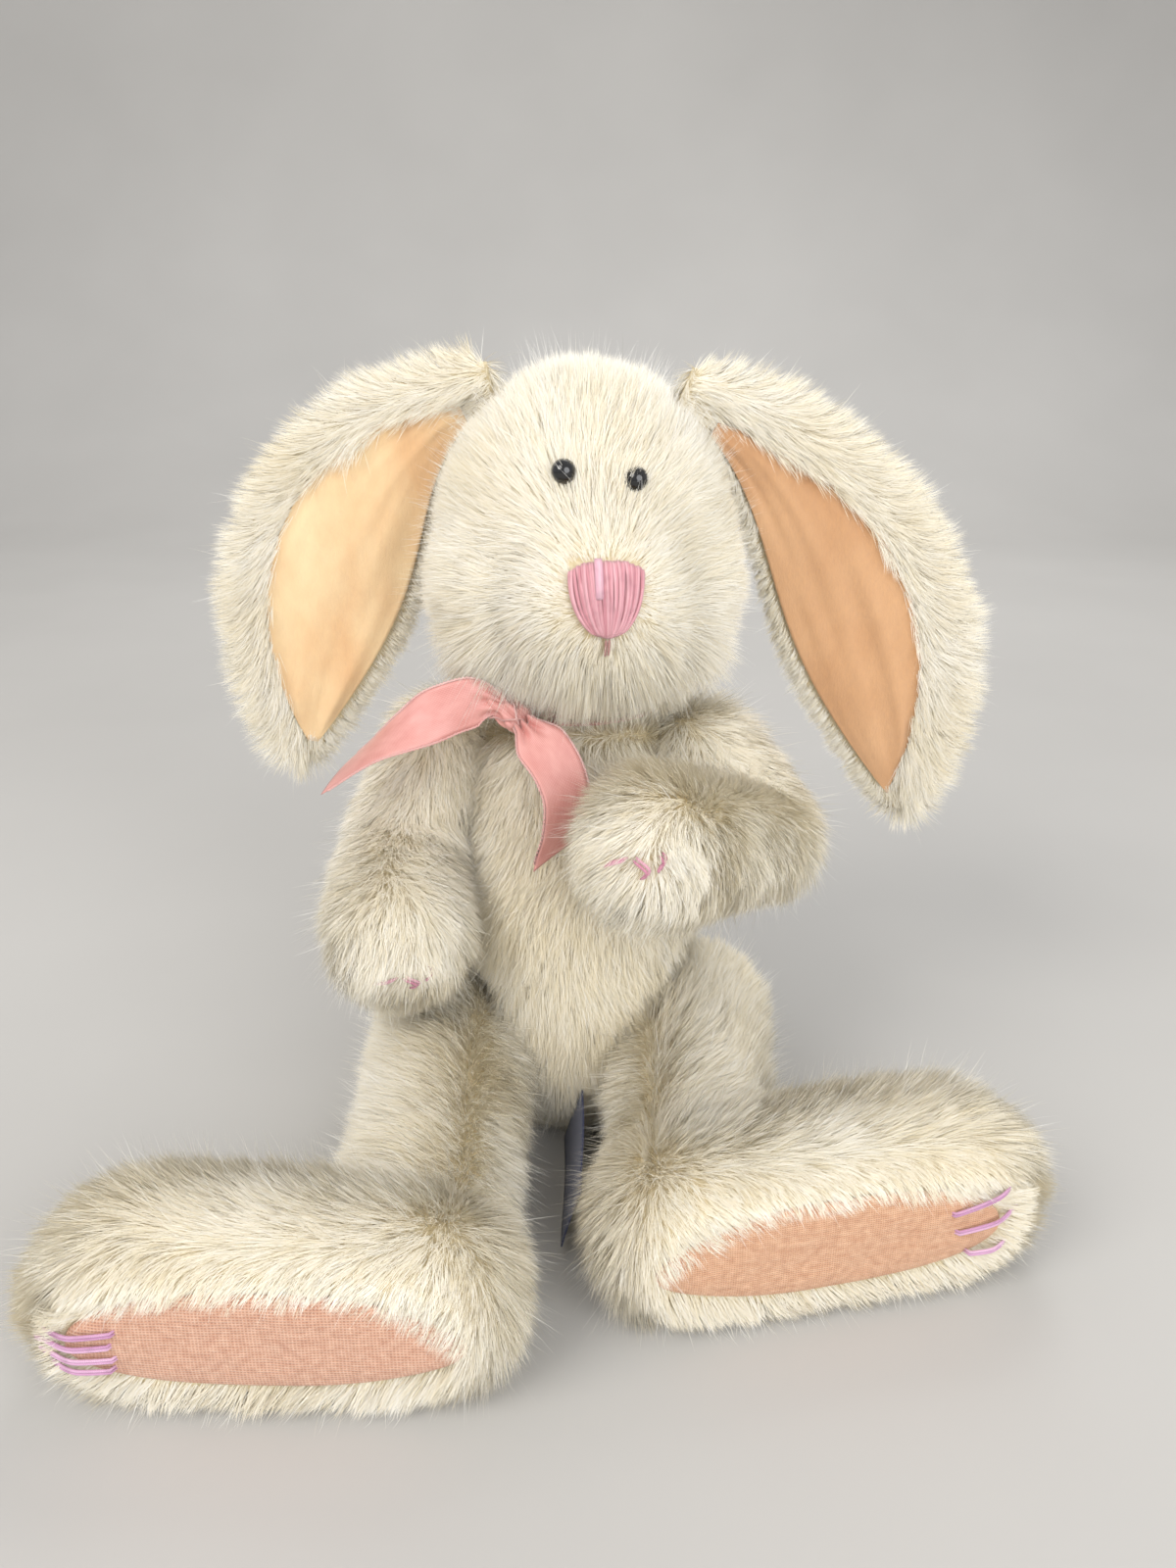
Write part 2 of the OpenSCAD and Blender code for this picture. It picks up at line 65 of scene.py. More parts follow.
def norm(v):
    return np.linalg.norm(v, axis=-1)


def unit(v):
    v = np.asarray(v, float)
    return v / np.maximum(norm(v)[..., None], 1e-9)


def dot(a, b):
    return (np.asarray(a) * np.asarray(b)).sum(-1, keepdims=True)


def smooth(x, low, high):
    t = np.clip((x - low) / (high - low), 0, 1)
    return t * t * (3 - 2 * t)


def rotate_z(v, degrees):
    a = math.radians(degrees)
    m = np.array([[math.cos(a), -math.sin(a), 0], [math.sin(a), math.cos(a), 0], [0, 0, 1]])
    return np.asarray(v, float) @ m.T


def steps_of(line):
    return norm(np.diff(line, axis=0))


def travel_of(line):
    """Distance along a line to each of its points."""
    return np.concatenate([[0], np.cumsum(steps_of(line))])


def read(items, field, width=3, kind=float):
    """A field of a mesh's vertices, edges, loops or triangles, one row each."""
    out = np.empty(len(items) * width, kind)
    items.foreach_get(field, out)
    return out.reshape(-1, width)


def coords(mesh):
    return read(mesh.vertices, "co") / MM


def vertex_normals(mesh):
    return read(mesh.vertex_normals, "vector")


def set_coords(mesh, points):
    mesh.vertices.foreach_set("co", (points * MM).ravel())
    mesh.update()


def mesh_of(name, points, faces):
    mesh = bpy.data.meshes.new(name)
    mesh.from_pydata((np.asarray(points, float) * MM).tolist(), [], faces)
    mesh.update()
    return mesh


def map_points(mesh, name, flat):
    """A map that gives each point one place, in mm on flat cloth and along a thread."""
    index = read(mesh.loops, "vertex_index", 1, np.int32)[:, 0]
    uv = mesh.uv_layers.new(name=name)
    uv.data.foreach_set("uv", np.asarray(flat, float).reshape(-1, 2)[index].ravel())


def face_outward(mesh):
    bm = bmesh.new()
    bm.from_mesh(mesh)
    bmesh.ops.recalc_face_normals(bm, faces=bm.faces)
    bm.to_mesh(mesh)
    bm.free()


def grid_faces(rows, columns, closed=False):
    faces = []
    for i in range(rows - 1):
        for j in range(columns if closed else columns - 1):
            k = (j + 1) % columns
            faces.append((i * columns + j, i * columns + k, (i + 1) * columns + k, (i + 1) * columns + j))
    return faces


def loft_faces(rows, columns, base=0):
    """Rings of faces with a cap at each end, their points counted from base."""
    faces = grid_faces(rows, columns, closed=True)
    faces += [tuple(range(columns))[::-1], tuple(range((rows - 1) * columns, rows * columns))]
    return [tuple(base + i for i in f) for f in faces]


def linked(name, data):
    obj = bpy.data.objects.new(name, data)
    scene.collection.objects.link(obj)
    return obj


def finish_mesh(mesh, material):
    mesh.materials.append(material)
    mesh.polygons.foreach_set("use_smooth", [True] * len(mesh.polygons))


def new_object(name, mesh, material, body=None):
    """An object of a finished mesh, riding on a body and taking its finish from a slot."""
    obj = linked(name, mesh)
    finish_mesh(mesh, material)
    if body:
        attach(obj, body)
    return obj


def applied(obj):
    """Replaces obj's mesh by what its modifiers make of it."""
    graph = bpy.context.evaluated_depsgraph_get()
    mesh = bpy.data.meshes.new_from_object(obj.evaluated_get(graph), depsgraph=graph)
    obj.modifiers.clear()
    old, obj.data = obj.data, mesh
    name = old.name
    bpy.data.meshes.remove(old)
    mesh.name = name


def cloth(name, points, rows, columns, flat, material, thickness=0.4):
    """A sheet of cloth: a grid of points, mapped from its flat form and given its thickness."""
    mesh = mesh_of(name, np.reshape(points, (-1, 3)), grid_faces(rows, columns))
    map_points(mesh, "cloth", flat)
    obj = new_object(name, mesh, material, None)
    solid = obj.modifiers.new("thickness", "SOLIDIFY")
    solid.thickness = thickness * MM
    solid.offset = 0
    applied(obj)
    return obj


# ---- Materials


def tint(colour):
    """Linear colour of a hex code, or the grey of a number from 0, black, to 1, white."""
    if not isinstance(colour, str):
        return (colour, colour, colour, 1.0)
    c = np.array([int(colour[i:i + 2], 16) / 255 for i in (1, 3, 5)])
    c = np.where(c <= 0.04045, c / 12.92, ((c + 0.055) / 1.055) ** 2.4)
    return (*c.tolist(), 1.0)


class Nodes:
    """A material and short calls that add nodes to it. Colours are given as for tint."""

    def __init__(self, name, roughness, **sockets):
        self.mat = bpy.data.materials.new(name)
        self.mat.use_nodes = True
        self.tree = self.mat.node_tree
        self.shader = self.tree.nodes["Principled BSDF"]
        for key, value in {"Roughness": roughness, **sockets}.items():
            self.shader.inputs[key.replace("_", " ")].default_value = value

    def add(self, kind, inputs=(), **settings):
        node = self.tree.nodes.new("ShaderNode" + kind)
        for key, value in settings.items():
            setattr(node, key, value)
        for key, value in dict(inputs).items():
            if isinstance(value, bpy.types.NodeSocket):
                self.tree.links.new(value, node.inputs[key])
            else:
                node.inputs[key].default_value = tint(value) if isinstance(value, str) else value
        return node

    def place(self):
        return self.add("TexCoord").outputs["Object"]

    def uv(self):
        return self.add("TexCoord").outputs["UV"]

    def scaled(self, vector, x, y, z):
        return self.add("Mapping", {"Vector": vector, "Scale": (x, y, z)}).outputs["Vector"]

    def noise(self, vector, scale, detail=3.0, roughness=0.55):
        inputs = {"Vector": vector, "Scale": scale, "Detail": detail, "Roughness": roughness}
        return self.add("TexNoise", inputs).outputs["Fac"]

    def wave(self, vector, scale, way, distortion, **more):
        inputs = {"Vector": vector, "Scale": scale, "Distortion": distortion}
        inputs.update((key.replace("_", " "), value) for key, value in more.items())
        return self.add("TexWave", inputs, bands_direction=way).outputs["Fac"]

    def spread(self, value, low, high, start=0.0, end=1.0):
        inputs = {"Value": value, "From Min": start, "From Max": end, "To Min": low, "To Max": high}
        return self.add("MapRange", inputs).outputs["Result"]

    def ramp(self, factor, *stops):
        node = self.add("ValToRGB", {"Fac": factor})
        ramp = node.color_ramp
        while len(ramp.elements) < len(stops):
            ramp.elements.new(0.5)
        for element, (at, colour) in zip(ramp.elements, stops):
            element.position = at
            element.color = tint(colour)
        return node.outputs["Color"]

    def math(self, operation, a, b=0.0):
        return self.add("Math", {0: a, 1: b}, operation=operation).outputs[0]

    def total(self, a, share_a, b, share_b):
        """Sum of two outputs, each times its share."""
        if share_a != 1:
            a = self.math("MULTIPLY", a, share_a)
        return self.math("ADD", a, self.math("MULTIPLY", b, share_b))

    def mix(self, factor, a, b, blend="MIX"):
        return self.add("Mix", {0: factor, 6: a, 7: b}, data_type="RGBA", blend_type=blend).outputs[2]

    def bump(self, height, strength, distance):
        node = self.add("Bump", {"Height": height, "Strength": strength, "Distance": distance})
        self.tree.links.new(node.outputs["Normal"], self.shader.inputs["Normal"])

    def rough(self, output):
        self.tree.links.new(output, self.shader.inputs["Roughness"])

    def colour(self, output):
        self.tree.links.new(output, self.shader.inputs["Base Color"])
        return self.mat


PALETTE = 24  # tones of hair, side by side in the pile's map


def pile_material():
    """Colour of a hair from its map: across is the hair's own tone, up is root to tip."""
    m = Nodes("pile", 0.62, Sheen_Weight=0.25, Sheen_Roughness=0.45, Specular_IOR_Level=0.25)
    at = m.add("SeparateXYZ", {"Vector": m.add("UVMap", uv_map="OFBake").outputs["UV"]})
    tone = m.math("FLOOR", m.math("MULTIPLY", at.outputs["X"], float(PALETTE)))
    tone = m.math("MULTIPLY", tone, 1 / PALETTE)
    tip = m.ramp(tone, (0.0, "#B0703C"), (0.04, "#EADDBC"), (0.3, "#F4EAD0"), (0.6, "#FBF5E5"), (0.95, "#FFFDF6"))
    root = m.ramp(tone, (0.0, "#A0683A"), (0.04, "#E4D8B6"), (0.5, "#F1E8CF"), (1.0, "#FAF5E6"))
    length = m.ramp(at.outputs["Y"], (0.0, 0.15), (0.2, 0.55), (0.5, 0.95), (1.0, 1.0))
    return m.colour(m.mix(length, root, tip))


def backing_material():
    m = Nodes("knit_backing", 0.9)
    n = m.noise(m.place(), 900.0)
    m.bump(n, 0.6, 0.0006)
    return m.colour(m.ramp(n, (0.3, "#C8B68E"), (0.7, "#E2D5B5")))


def suede_material(name, dark, light, stain=None):
    """Brushed suede cloth: a soft nap, large cloudy tones and fine fibre speckle. A stain is a place and a radius."""
    m = Nodes(name, 0.92, Sheen_Weight=0.35, Sheen_Roughness=0.6, Specular_IOR_Level=0.15)
    here = m.place()
    cloud = m.noise(m.scaled(here, 1.0, 1.0, 0.6), 38.0, 4.0)
    fibre = m.noise(m.scaled(here, 1.0, 1.0, 0.35), 1500.0, 5.0, 0.7)
    colour = m.ramp(cloud, (0.3, dark), (0.68, light))
    colour = m.mix(m.ramp(fibre, (0.3, 0.0), (0.75, 0.3)), colour, "#F3DCC0", "SOFT_LIGHT")
    if stain:
        (x, y, z), radius = stain
        centre = (x * MM, y * MM, z * MM)
        away = m.add("VectorMath", {0: here, 1: centre}, operation="DISTANCE").outputs["Value"]
        ragged = m.total(away, 1, m.noise(here, 320.0), 0.004)
        colour = m.mix(m.spread(ragged, 0.0, 0.55, 0.002 + radius * MM, 0.001), colour, "#6F6154")
    m.bump(m.total(fibre, 1, cloud, 1.5), 0.35, 0.0007)
    return m.colour(colour)


def linen_material(name, scale, nub, dark, mid, light):
    """Plain weave from two crossed sets of yarns, with slubs."""
    m = Nodes(name, 0.88, Sheen_Weight=0.2, Specular_IOR_Level=0.2)
    here = m.uv()
    wobble = m.noise(here, 0.5, 2.0)
    across = m.wave(here, scale, "X", 1.2, Detail=1.0, Detail_Scale=0.6)
    up = m.wave(here, scale * 1.06, "Y", 1.2, Detail=1.0, Detail_Scale=0.6)
    slub = m.noise(m.scaled(here, 0.35, 2.2, 1.0), nub, 4.0, 0.7)
    height = m.total(m.math("MAXIMUM", across, up), 1, slub, 1.6)
    colour = m.ramp(m.math("MULTIPLY", height, 0.42), (0.2, dark), (0.55, mid), (0.9, light))
    colour = m.mix(m.ramp(wobble, (0.35, 0.0), (0.7, 0.35)), colour, "#B98A72", "MULTIPLY")
    m.bump(height, 0.55, 0.0006)
    return m.colour(colour)


def satin_material(name, dark, light):
    """Satin ribbon: long weft floats across fine ribs, and a broad sheen."""
    m = Nodes(name, 0.42, Sheen_Weight=0.5, Sheen_Roughness=0.3, Anisotropic=0.5, Specular_IOR_Level=0.5)
    here = m.uv()
    height = m.math("MULTIPLY", m.wave(here, 0.9, "Y", 0.15), m.wave(here, 0.75, "X", 0.15))
    cloud = m.noise(m.scaled(here, 0.25, 0.12, 1.0), 1.0, 3.0)
    m.bump(height, 0.18, 0.0002)
    m.rough(m.spread(cloud, 0.34, 0.5))
    return m.colour(m.ramp(m.total(height, 0.35, cloud, 0.65), (0.2, dark), (0.75, light)))


def thread_material(name, *stops):
    """Twisted stranded thread: tone of each thread from the map across, plies along it."""
    m = Nodes(name, 0.5, Sheen_Weight=0.4, Sheen_Roughness=0.35, Specular_IOR_Level=0.4)
    here = m.uv()
    number = m.math("FLOOR", m.add("SeparateXYZ", {"Vector": here}).outputs["X"])
    tone = m.math("FRACT", m.math("MULTIPLY", number, 0.381))
    plies = m.wave(m.scaled(here, 3.0, 1.4, 1.0), 1.0, "DIAGONAL", 0.8)
    soil = m.noise(m.place(), 260.0, 3.0)
    colour = m.ramp(m.total(tone, 0.6, plies, 0.4), *stops)
    colour = m.mix(m.ramp(soil, (0.52, 0.0), (0.75, 0.45)), colour, "#B3A0A4", "MULTIPLY")
    m.bump(plies, 0.5, 0.0003)
    return m.colour(colour)


def hard_material(name, low, high, roughness, scale, **more):
    m = Nodes(name, roughness, **more)
    n = m.noise(m.place(), scale)
    m.rough(m.spread(n, roughness * 0.8, min(1.0, roughness * 1.3)))
    m.bump(n, 0.1, 0.0003)
    return m.colour(m.ramp(n, (0.3, low), (0.7, high)))


def tag_material():
    m = Nodes("tag_weave", 0.7, Sheen_Weight=0.3)
    here = m.uv()
    height = m.math("MAXIMUM", m.wave(here, 1.1, "Y", 0.2), m.wave(here, 0.9, "X", 0.2))
    m.bump(height, 0.5, 0.0003)
    return m.colour(m.ramp(m.total(height, 0.7, m.noise(here, 0.8), 0.3), (0.3, "#131A33"), (0.9, "#2B3762")))


PILE = pile_material()
BACKING = backing_material()
SUEDE = {
    RIGHT: suede_material("suede_right", "#DDB285", "#F2D9AE"),
    # The left lining's suede is a darker copy of the right one: painted shade, for the ear that faces away from the
    # key light.
    LEFT: suede_material("suede_left_painted_shade", "#B98A62", "#D0A47C", stain=((98.5, 22.0, 95.0), 2.0)),
}
LINEN = {
    RIGHT: linen_material("linen_nubby", 0.42, 0.9, "#B98068", "#DCA78B", "#F0CDB4"),
    LEFT: linen_material("linen_smooth", 0.55, 0.45, "#BE8767", "#DFAC88", "#EFC8A6"),
}
SATIN = satin_material("satin_ribbon", "#CB857D", "#EDB5AD")
PICOT = thread_material("picot_edge", (0.2, "#E5ACA5"), (0.8, "#F9DDD8"))
NOSE = thread_material("nose_thread", (0.1, "#CC8790"), (0.5, "#E1A2AB"), (0.9, "#F2C0C5"))
# Pale pink thread for the streak of painted highlight on the nose.
NOSE_PAINTED_HIGHLIGHT = thread_material("nose_thread_painted_highlight", (0.1, "#DDA6B6"), (0.9, "#F6D3DC"))
MOUTH = thread_material("mouth_thread", (0.1, "#B07E78"), (0.9, "#D2A29A"))
LILAC = thread_material("lilac_thread", (0.1, "#C58DB5"), (0.5, "#DCA8CC"), (0.9, "#EEC8E2"))
CLAW = thread_material("claw_thread", (0.1, "#C87F97"), (0.5, "#DB9AAE"), (0.9, "#EAB8C6"))
BEAD = hard_material("bead", "#050505", "#0D0D0F", 0.09, 400.0, Coat_Weight=0.6)
PLASTIC = hard_material("joint_plastic", "#D9D7CE", "#E8E6DE", 0.45, 350.0)
STEEL = hard_material("lock_steel", "#9A9A9E", "#B9B9BE", 0.35, 500.0, Metallic=1.0)
TAG = tag_material()

# ---- Camera, light and floor, in metres

LENS, SENSOR = 27.0, 36.0
CAMERA_AT = (0.004, -0.294, 0.217)
CAMERA_DOWN = 22  # degrees below level
AIM = (0, -0.02, 0.1)
LIGHTS = {  # place, width, watts and colour
    "key": ((-0.75, -0.75, 1.05), 0.9, 10.0, (1.0, 0.97, 0.93)),
    "fill": ((0.6, -1.0, 0.55), 1.1, 10.2, (0.97, 0.98, 1.0)),
    "back": ((0.2, 0.9, 1.1), 0.8, 6.0, (1.0, 1.0, 1.0)),
}
WORLD_COLOUR, WORLD_STRENGTH = (0.98, 0.98, 1.0, 1.0), 0.66

camera_data = bpy.data.cameras.new("camera")
camera_data.lens = LENS
camera_data.sensor_width = SENSOR
camera = linked("camera", camera_data)
camera.location = CAMERA_AT
camera.rotation_euler = (math.radians(90 - CAMERA_DOWN), 0, 0)
scene.camera = camera

for name, (place, size, power, colour) in LIGHTS.items():
    data = bpy.data.lights.new(name, "AREA")
    data.shape = "DISK"
    data.size = size
    data.energy = power
    data.color = colour
    light = linked(name, data)
    light.location = place
    light.rotation_euler = (Vector(AIM) - Vector(place)).to_track_quat("-Z", "Y").to_euler()

world = bpy.data.worlds.new("world")
scene.world = world
world.use_nodes = True
world.node_tree.nodes["Background"].inputs["Color"].default_value = WORLD_COLOUR
world.node_tree.nodes["Background"].inputs["Strength"].default_value = WORLD_STRENGTH
scene.view_settings.view_transform = "Standard"
scene.view_settings.look = "None"


def floor():
    """A floor that curves up into a backdrop."""
    turn, bend, far, near, high, half = 9, 0.5, 0.9, -3.0, 3.0, 4.0
    rows = [(near, 0.0), (far, 0.0)]
    rows += [(far + bend * math.sin(a), bend - bend * math.cos(a)) for a in np.linspace(0, math.pi / 2, turn)[1:]]
    rows.append((far + bend, high))
    points = [(x, y, z) for y, z in rows for x in (-half, half)]
    mesh = bpy.data.meshes.new("floor")
    mesh.from_pydata(points, [], [(2 * i, 2 * i + 1, 2 * i + 3, 2 * i + 2) for i in range(len(rows) - 1)])
    m = Nodes("floor", 0.85)
    obj = new_object("floor", mesh, m.colour(m.ramp(m.noise(m.place(), 4.0), (0.3, "#B9B7B3"), (0.7, "#BFBDB9"))))


floor()

# ---- The sewn and stuffed skins

LEAN = math.radians(15)
UP = vec(0, math.sin(LEAN), math.cos(LEAN))
SEAT = vec(0, 0, 22)
BELLY, CHEST, NECK = SEAT + 36 * UP, SEAT + 80 * UP, SEAT + 97 * UP
TAIL_WAY = vec(0, math.cos(LEAN), -math.sin(LEAN))
TAIL_AT = SEAT + 8 * UP + 27.8 * TAIL_WAY
SKULL = vec(3, 18, 166)
HEAD_TURN = 7
MUZZLE, MUZZLE_R = vec(0, -25, -15), 21


def face(x, y, z):
    """A place of the turned head, from one given in its own axes from the middle of the skull."""
    return SKULL + rotate_z([x, y, z], HEAD_TURN)


def sideways(side, degrees):
    a = math.radians(degrees)
    return vec(side * math.cos(a), -math.sin(a), 0)


SHOULDER_WAY = {RIGHT: sideways(RIGHT, 5), LEFT: sideways(LEFT, 15)}
HIP_WAY = {RIGHT: sideways(RIGHT, 4), LEFT: sideways(LEFT, 8)}
SHOULDER = {s: CHEST + vec(0, 0, 3) + 26 * SHOULDER_WAY[s] for s in SIDES}
HIP = {RIGHT: vec(-20.5, -2, 24), LEFT: vec(20.5, 3, 24)}
ARM = {
    RIGHT: [SHOULDER[RIGHT] + 9.9 * SHOULDER_WAY[RIGHT], vec(-47, 5, 80), vec(-45, -25, 68)],
    LEFT: [SHOULDER[LEFT] + 9.9 * SHOULDER_WAY[LEFT], vec(50, -3, 84), vec(20, -39, 98)],
}
ARM_R = [15, 14.5, 17]
FOOT = {RIGHT: [vec(-33, -99, 20), vec(-91, -98, 20)], LEFT: [vec(28, -78, 20), vec(88, -65, 20)]}
LEG = {s: [HIP[s] + 13.4 * HIP_WAY[s], FOOT[s][0]] for s in SIDES}
LEG_R = [18, 16.5]
FOOT_R = 21
SOLE_DEPTH = 14
TOE_WAY = {s: unit(FOOT[s][1] - FOOT[s][0]) for s in SIDES}
SOLE_WAY = {s: s * vec(TOE_WAY[s][1], -TOE_WAY[s][0], 0) for s in SIDES}
FACE_GAP = 0.4
GROUND = 0.3
FACES = {  # the middle of the flat of each neck, arm and leg, against the torso's flat
    "neck": NECK + FACE_GAP * UP,
    **{("arm", s): SHOULDER[s] + FACE_GAP * SHOULDER_WAY[s] for s in SIDES},
    **{("leg", s): HIP[s] + FACE_GAP * HIP_WAY[s] for s in SIDES},
}


def row(route, radii):
    """Balls and the cones between them."""
    balls = list(zip(route, radii))
    return balls, list(zip(balls[:-1], balls[1:]))


def smoothed(mesh, points, times):
    edges = read(mesh.edges, "vertices", 2, np.int32)
    count = np.bincount(edges.ravel(), minlength=len(points))[:, None]
    for _ in range(times):
        total = np.zeros_like(points)
        for a, b in ((0, 1), (1, 0)):
            np.add.at(total, edges[:, a], points[edges[:, b]])
        points = points + 0.5 * (total / np.maximum(count, 1) - points)
    return points


PUFF_START = 0.7  # how far inside the skin the cloth begins
PUFF_CAP = 2.0
PUFF_PRESSURE = 4.0
PUFF_FRAMES = 20


def puffed(obj):
    """Cloth blown up by its stuffing, with the move of every point capped."""
    mesh = obj.data
    inner = coords(mesh) - PUFF_START * vertex_normals(mesh)
    set_coords(mesh, inner)
    sim = obj.modifiers.new("cloth", "CLOTH")
    sim.settings.use_pressure = True
    sim.settings.uniform_pressure_force = PUFF_PRESSURE
    sim.settings.effector_weights.gravity = 0.0
    sim.settings.quality = 4
    sim.collision_settings.use_collision = False
    sim.point_cache.frame_start, sim.point_cache.frame_end = 1, PUFF_FRAMES
    for frame_number in range(1, PUFF_FRAMES + 1):
        scene.frame_set(frame_number)
    graph = bpy.context.evaluated_depsgraph_get()
    moved = coords(obj.evaluated_get(graph).to_mesh()) - inner
    obj.evaluated_get(graph).to_mesh_clear()
    obj.modifiers.clear()
    scene.frame_set(1)
    moved *= np.minimum(1, PUFF_CAP / np.maximum(norm(moved)[:, None], 1e-6))
    set_coords(mesh, smoothed(mesh, inner + moved, 2))


def skin(part, balls, cones, flats, body=None, voxel=2.4, ease=5):
    """A closed skin over balls and cones, puffed as cloth, then pressed flat where it meets something."""
    name = f"{part}_skin"
    bm = bmesh.new()
    for centre, r in balls:
        bmesh.ops.create_icosphere(bm, subdivisions=4, radius=r * MM, matrix=Matrix.Translation(Vector(centre) * MM))
    for (a, ra), (b, rb) in cones:
        way = Vector(b - a)
        turn = way.to_track_quat("Z", "Y").to_matrix().to_4x4()
        bmesh.ops.create_cone(bm, cap_ends=True, segments=48, radius1=ra * MM, radius2=rb * MM, depth=way.length * MM,
                              matrix=Matrix.Translation(Vector((a + b) / 2) * MM) @ turn)
    mesh = bpy.data.meshes.new(name)
    bm.to_mesh(mesh)
    bm.free()
    obj = linked(name, mesh)
    remesh = obj.modifiers.new("remesh", "REMESH")
    remesh.mode = "VOXEL"
    remesh.voxel_size = voxel * MM
    applied(obj)
    mesh = obj.data
    set_coords(mesh, smoothed(mesh, coords(mesh), ease))
    puffed(obj)
    points = coords(mesh)
    for place, way, radius in flats:
        out = (points - place) @ way
        flat = out > 0
        if radius:
            flat &= norm(points - place - out[:, None] * way) < radius
        points[flat] -= out[flat, None] * way
    points[:, 2] = np.maximum(points[:, 2], GROUND)
    set_coords(mesh, points)
    finish_mesh(mesh, BACKING)
    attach(obj, body or part)
    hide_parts(f"{part}_cover", f"{part}_stuffing")
    return obj


# A flat is a place on it, its way out, and its radius, or 0 where it cuts the whole skin.
torso_flats = [(NECK, UP, 0)]
for s in SIDES:
    torso_flats += [(SHOULDER[s], SHOULDER_WAY[s], 21), (HIP[s], HIP_WAY[s], 26)]
torso = skin("torso", *row([SEAT, BELLY, CHEST], [26, 32, 29]), torso_flats)
tail = skin("tail", [(TAIL_AT + 7 * TAIL_WAY, 12)], [], [(TAIL_AT, -TAIL_WAY, 0)], "torso", voxel=1.6, ease=2)
head_balls = [(SKULL, 34), (face(13, -5, -15), 25), (face(-13, -5, -15), 25), (face(*MUZZLE), MUZZLE_R)]
neck_cone = ((NECK - 5 * UP, 17), (SKULL + vec(0, 6, -10), 17))
head = skin("head", head_balls, [neck_cone], [(FACES["neck"], -UP, 0)])
arms, legs = {}, {}
for s in SIDES:
    word = SIDE_NAME[s]
    arms[s] = skin(f"{word}_arm", *row(ARM[s], ARM_R), [(FACES["arm", s], -SHOULDER_WAY[s], 16.5)])
    balls, cones = row(LEG[s], LEG_R)
    foot_balls, foot_cones = row(FOOT[s], [FOOT_R, FOOT_R])
    flats = [(FACES["leg", s], -HIP_WAY[s], 19.5), (FOOT[s][0] + SOLE_DEPTH * SOLE_WAY[s], SOLE_WAY[s], 0)]
    legs[s] = skin(f"{word}_leg", balls + foot_balls, cones + foot_cones, flats)

# ---- Ears

EAR_LINE = {RIGHT: [vec(-20, 199), vec(-70, 184), vec(-79, 94)], LEFT: [vec(28, 198), vec(84, 172), vec(97, 78)]}
EAR_Y, CUP_R, EAR_HALF, EAR_ROOT, EAR_T = 27, 110, 22.5, 6, 3
RIM_OUT, RIM_IN = {RIGHT: 8.0, LEFT: 11.0}, 2.0
LINING_FROM, LINING_TO = 0.1, 0.955
LINING_OFF = -0.45
FOLD_DEPTH = 1.9


def along(line, t):
    t = np.asarray(t, float)[..., None]
    return (1 - t) ** 2 * line[0] + 2 * t * (1 - t) * line[1] + t * t * line[2]


def heading(line, t):
    t = np.asarray(t, float)[..., None]
    return unit((1 - t) * (line[1] - line[0]) + t * (line[2] - line[1]))


def outward(way, side):
    """Square to a way along an ear, towards its outer edge."""
    return np.stack([-way[..., 1], way[..., 0]], -1) * side


def ear_width(t):
    return EAR_ROOT * (1 - t) ** 2 + EAR_HALF * np.sin(np.pi * np.clip(t, 0, 1) ** 1.5) ** 0.8


def ear_point(side, t, s, off):
    """Point on an ear: t from root to tip, s from its inner edge -1 to its outer edge 1, off from front to back."""
    t, s = np.broadcast_arrays(np.asarray(t, float), np.asarray(s, float))
    line = EAR_LINE[side]
    xz = along(line, t) + (s * ear_width(t))[..., None] * outward(heading(line, t), side)
    middle = along(line, 0.5)[0]
    y = EAR_Y - CUP_R + np.sqrt((CUP_R + off) ** 2 - (xz[..., 0] - middle) ** 2)
    return np.stack([xz[..., 0], y, xz[..., 1]], -1)


def ear_back(side):
    """The furry layer: a flat padded loft that narrows to a round tip."""
    steps, turn = 40, 28
    t = np.linspace(0.0, 0.985, steps)[:, None]
    a = np.linspace(0, 2 * np.pi, turn, endpoint=False)[None, :]
    thick = EAR_T / 2 * (1 - 0.35 * t)
    off = EAR_T / 2 + thick * np.sign(np.sin(a)) * np.abs(np.sin(a)) ** 0.6
    points = ear_point(side, t, np.cos(a), off).reshape(-1, 3)
    word = SIDE_NAME[side]
    mesh = mesh_of(f"{word}_ear_back", points, loft_faces(steps, turn))
    obj = new_object(f"{word}_ear_back", mesh, BACKING, f"{word}_ear")
    face_outward(mesh)
    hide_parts(f"{word}_ear_cover")
    return obj


def lining_limits(side, t):
    """Inner and outer edge of the lining, as shares of the ear's half width."""
    w = np.maximum(ear_width(t), 1.0)
    outer = np.clip(1 - RIM_OUT[side] / w, -0.6, 1)
    inner = -np.clip(1 - RIM_IN / w, -0.6, 1)
    middle = (inner + outer) / 2
    half = np.maximum((outer - inner) / 2, 0.02)
    return middle - half, middle + half


def fold(side, t, s):
    large = noise.noise(Vector((30 * s / 13 + 5 * side, 60 * t / 21, 3.1)))
    return large + 0.45 * noise.noise(Vector((30 * s / 5.5, 60 * t / 12, 7.7 + side)))


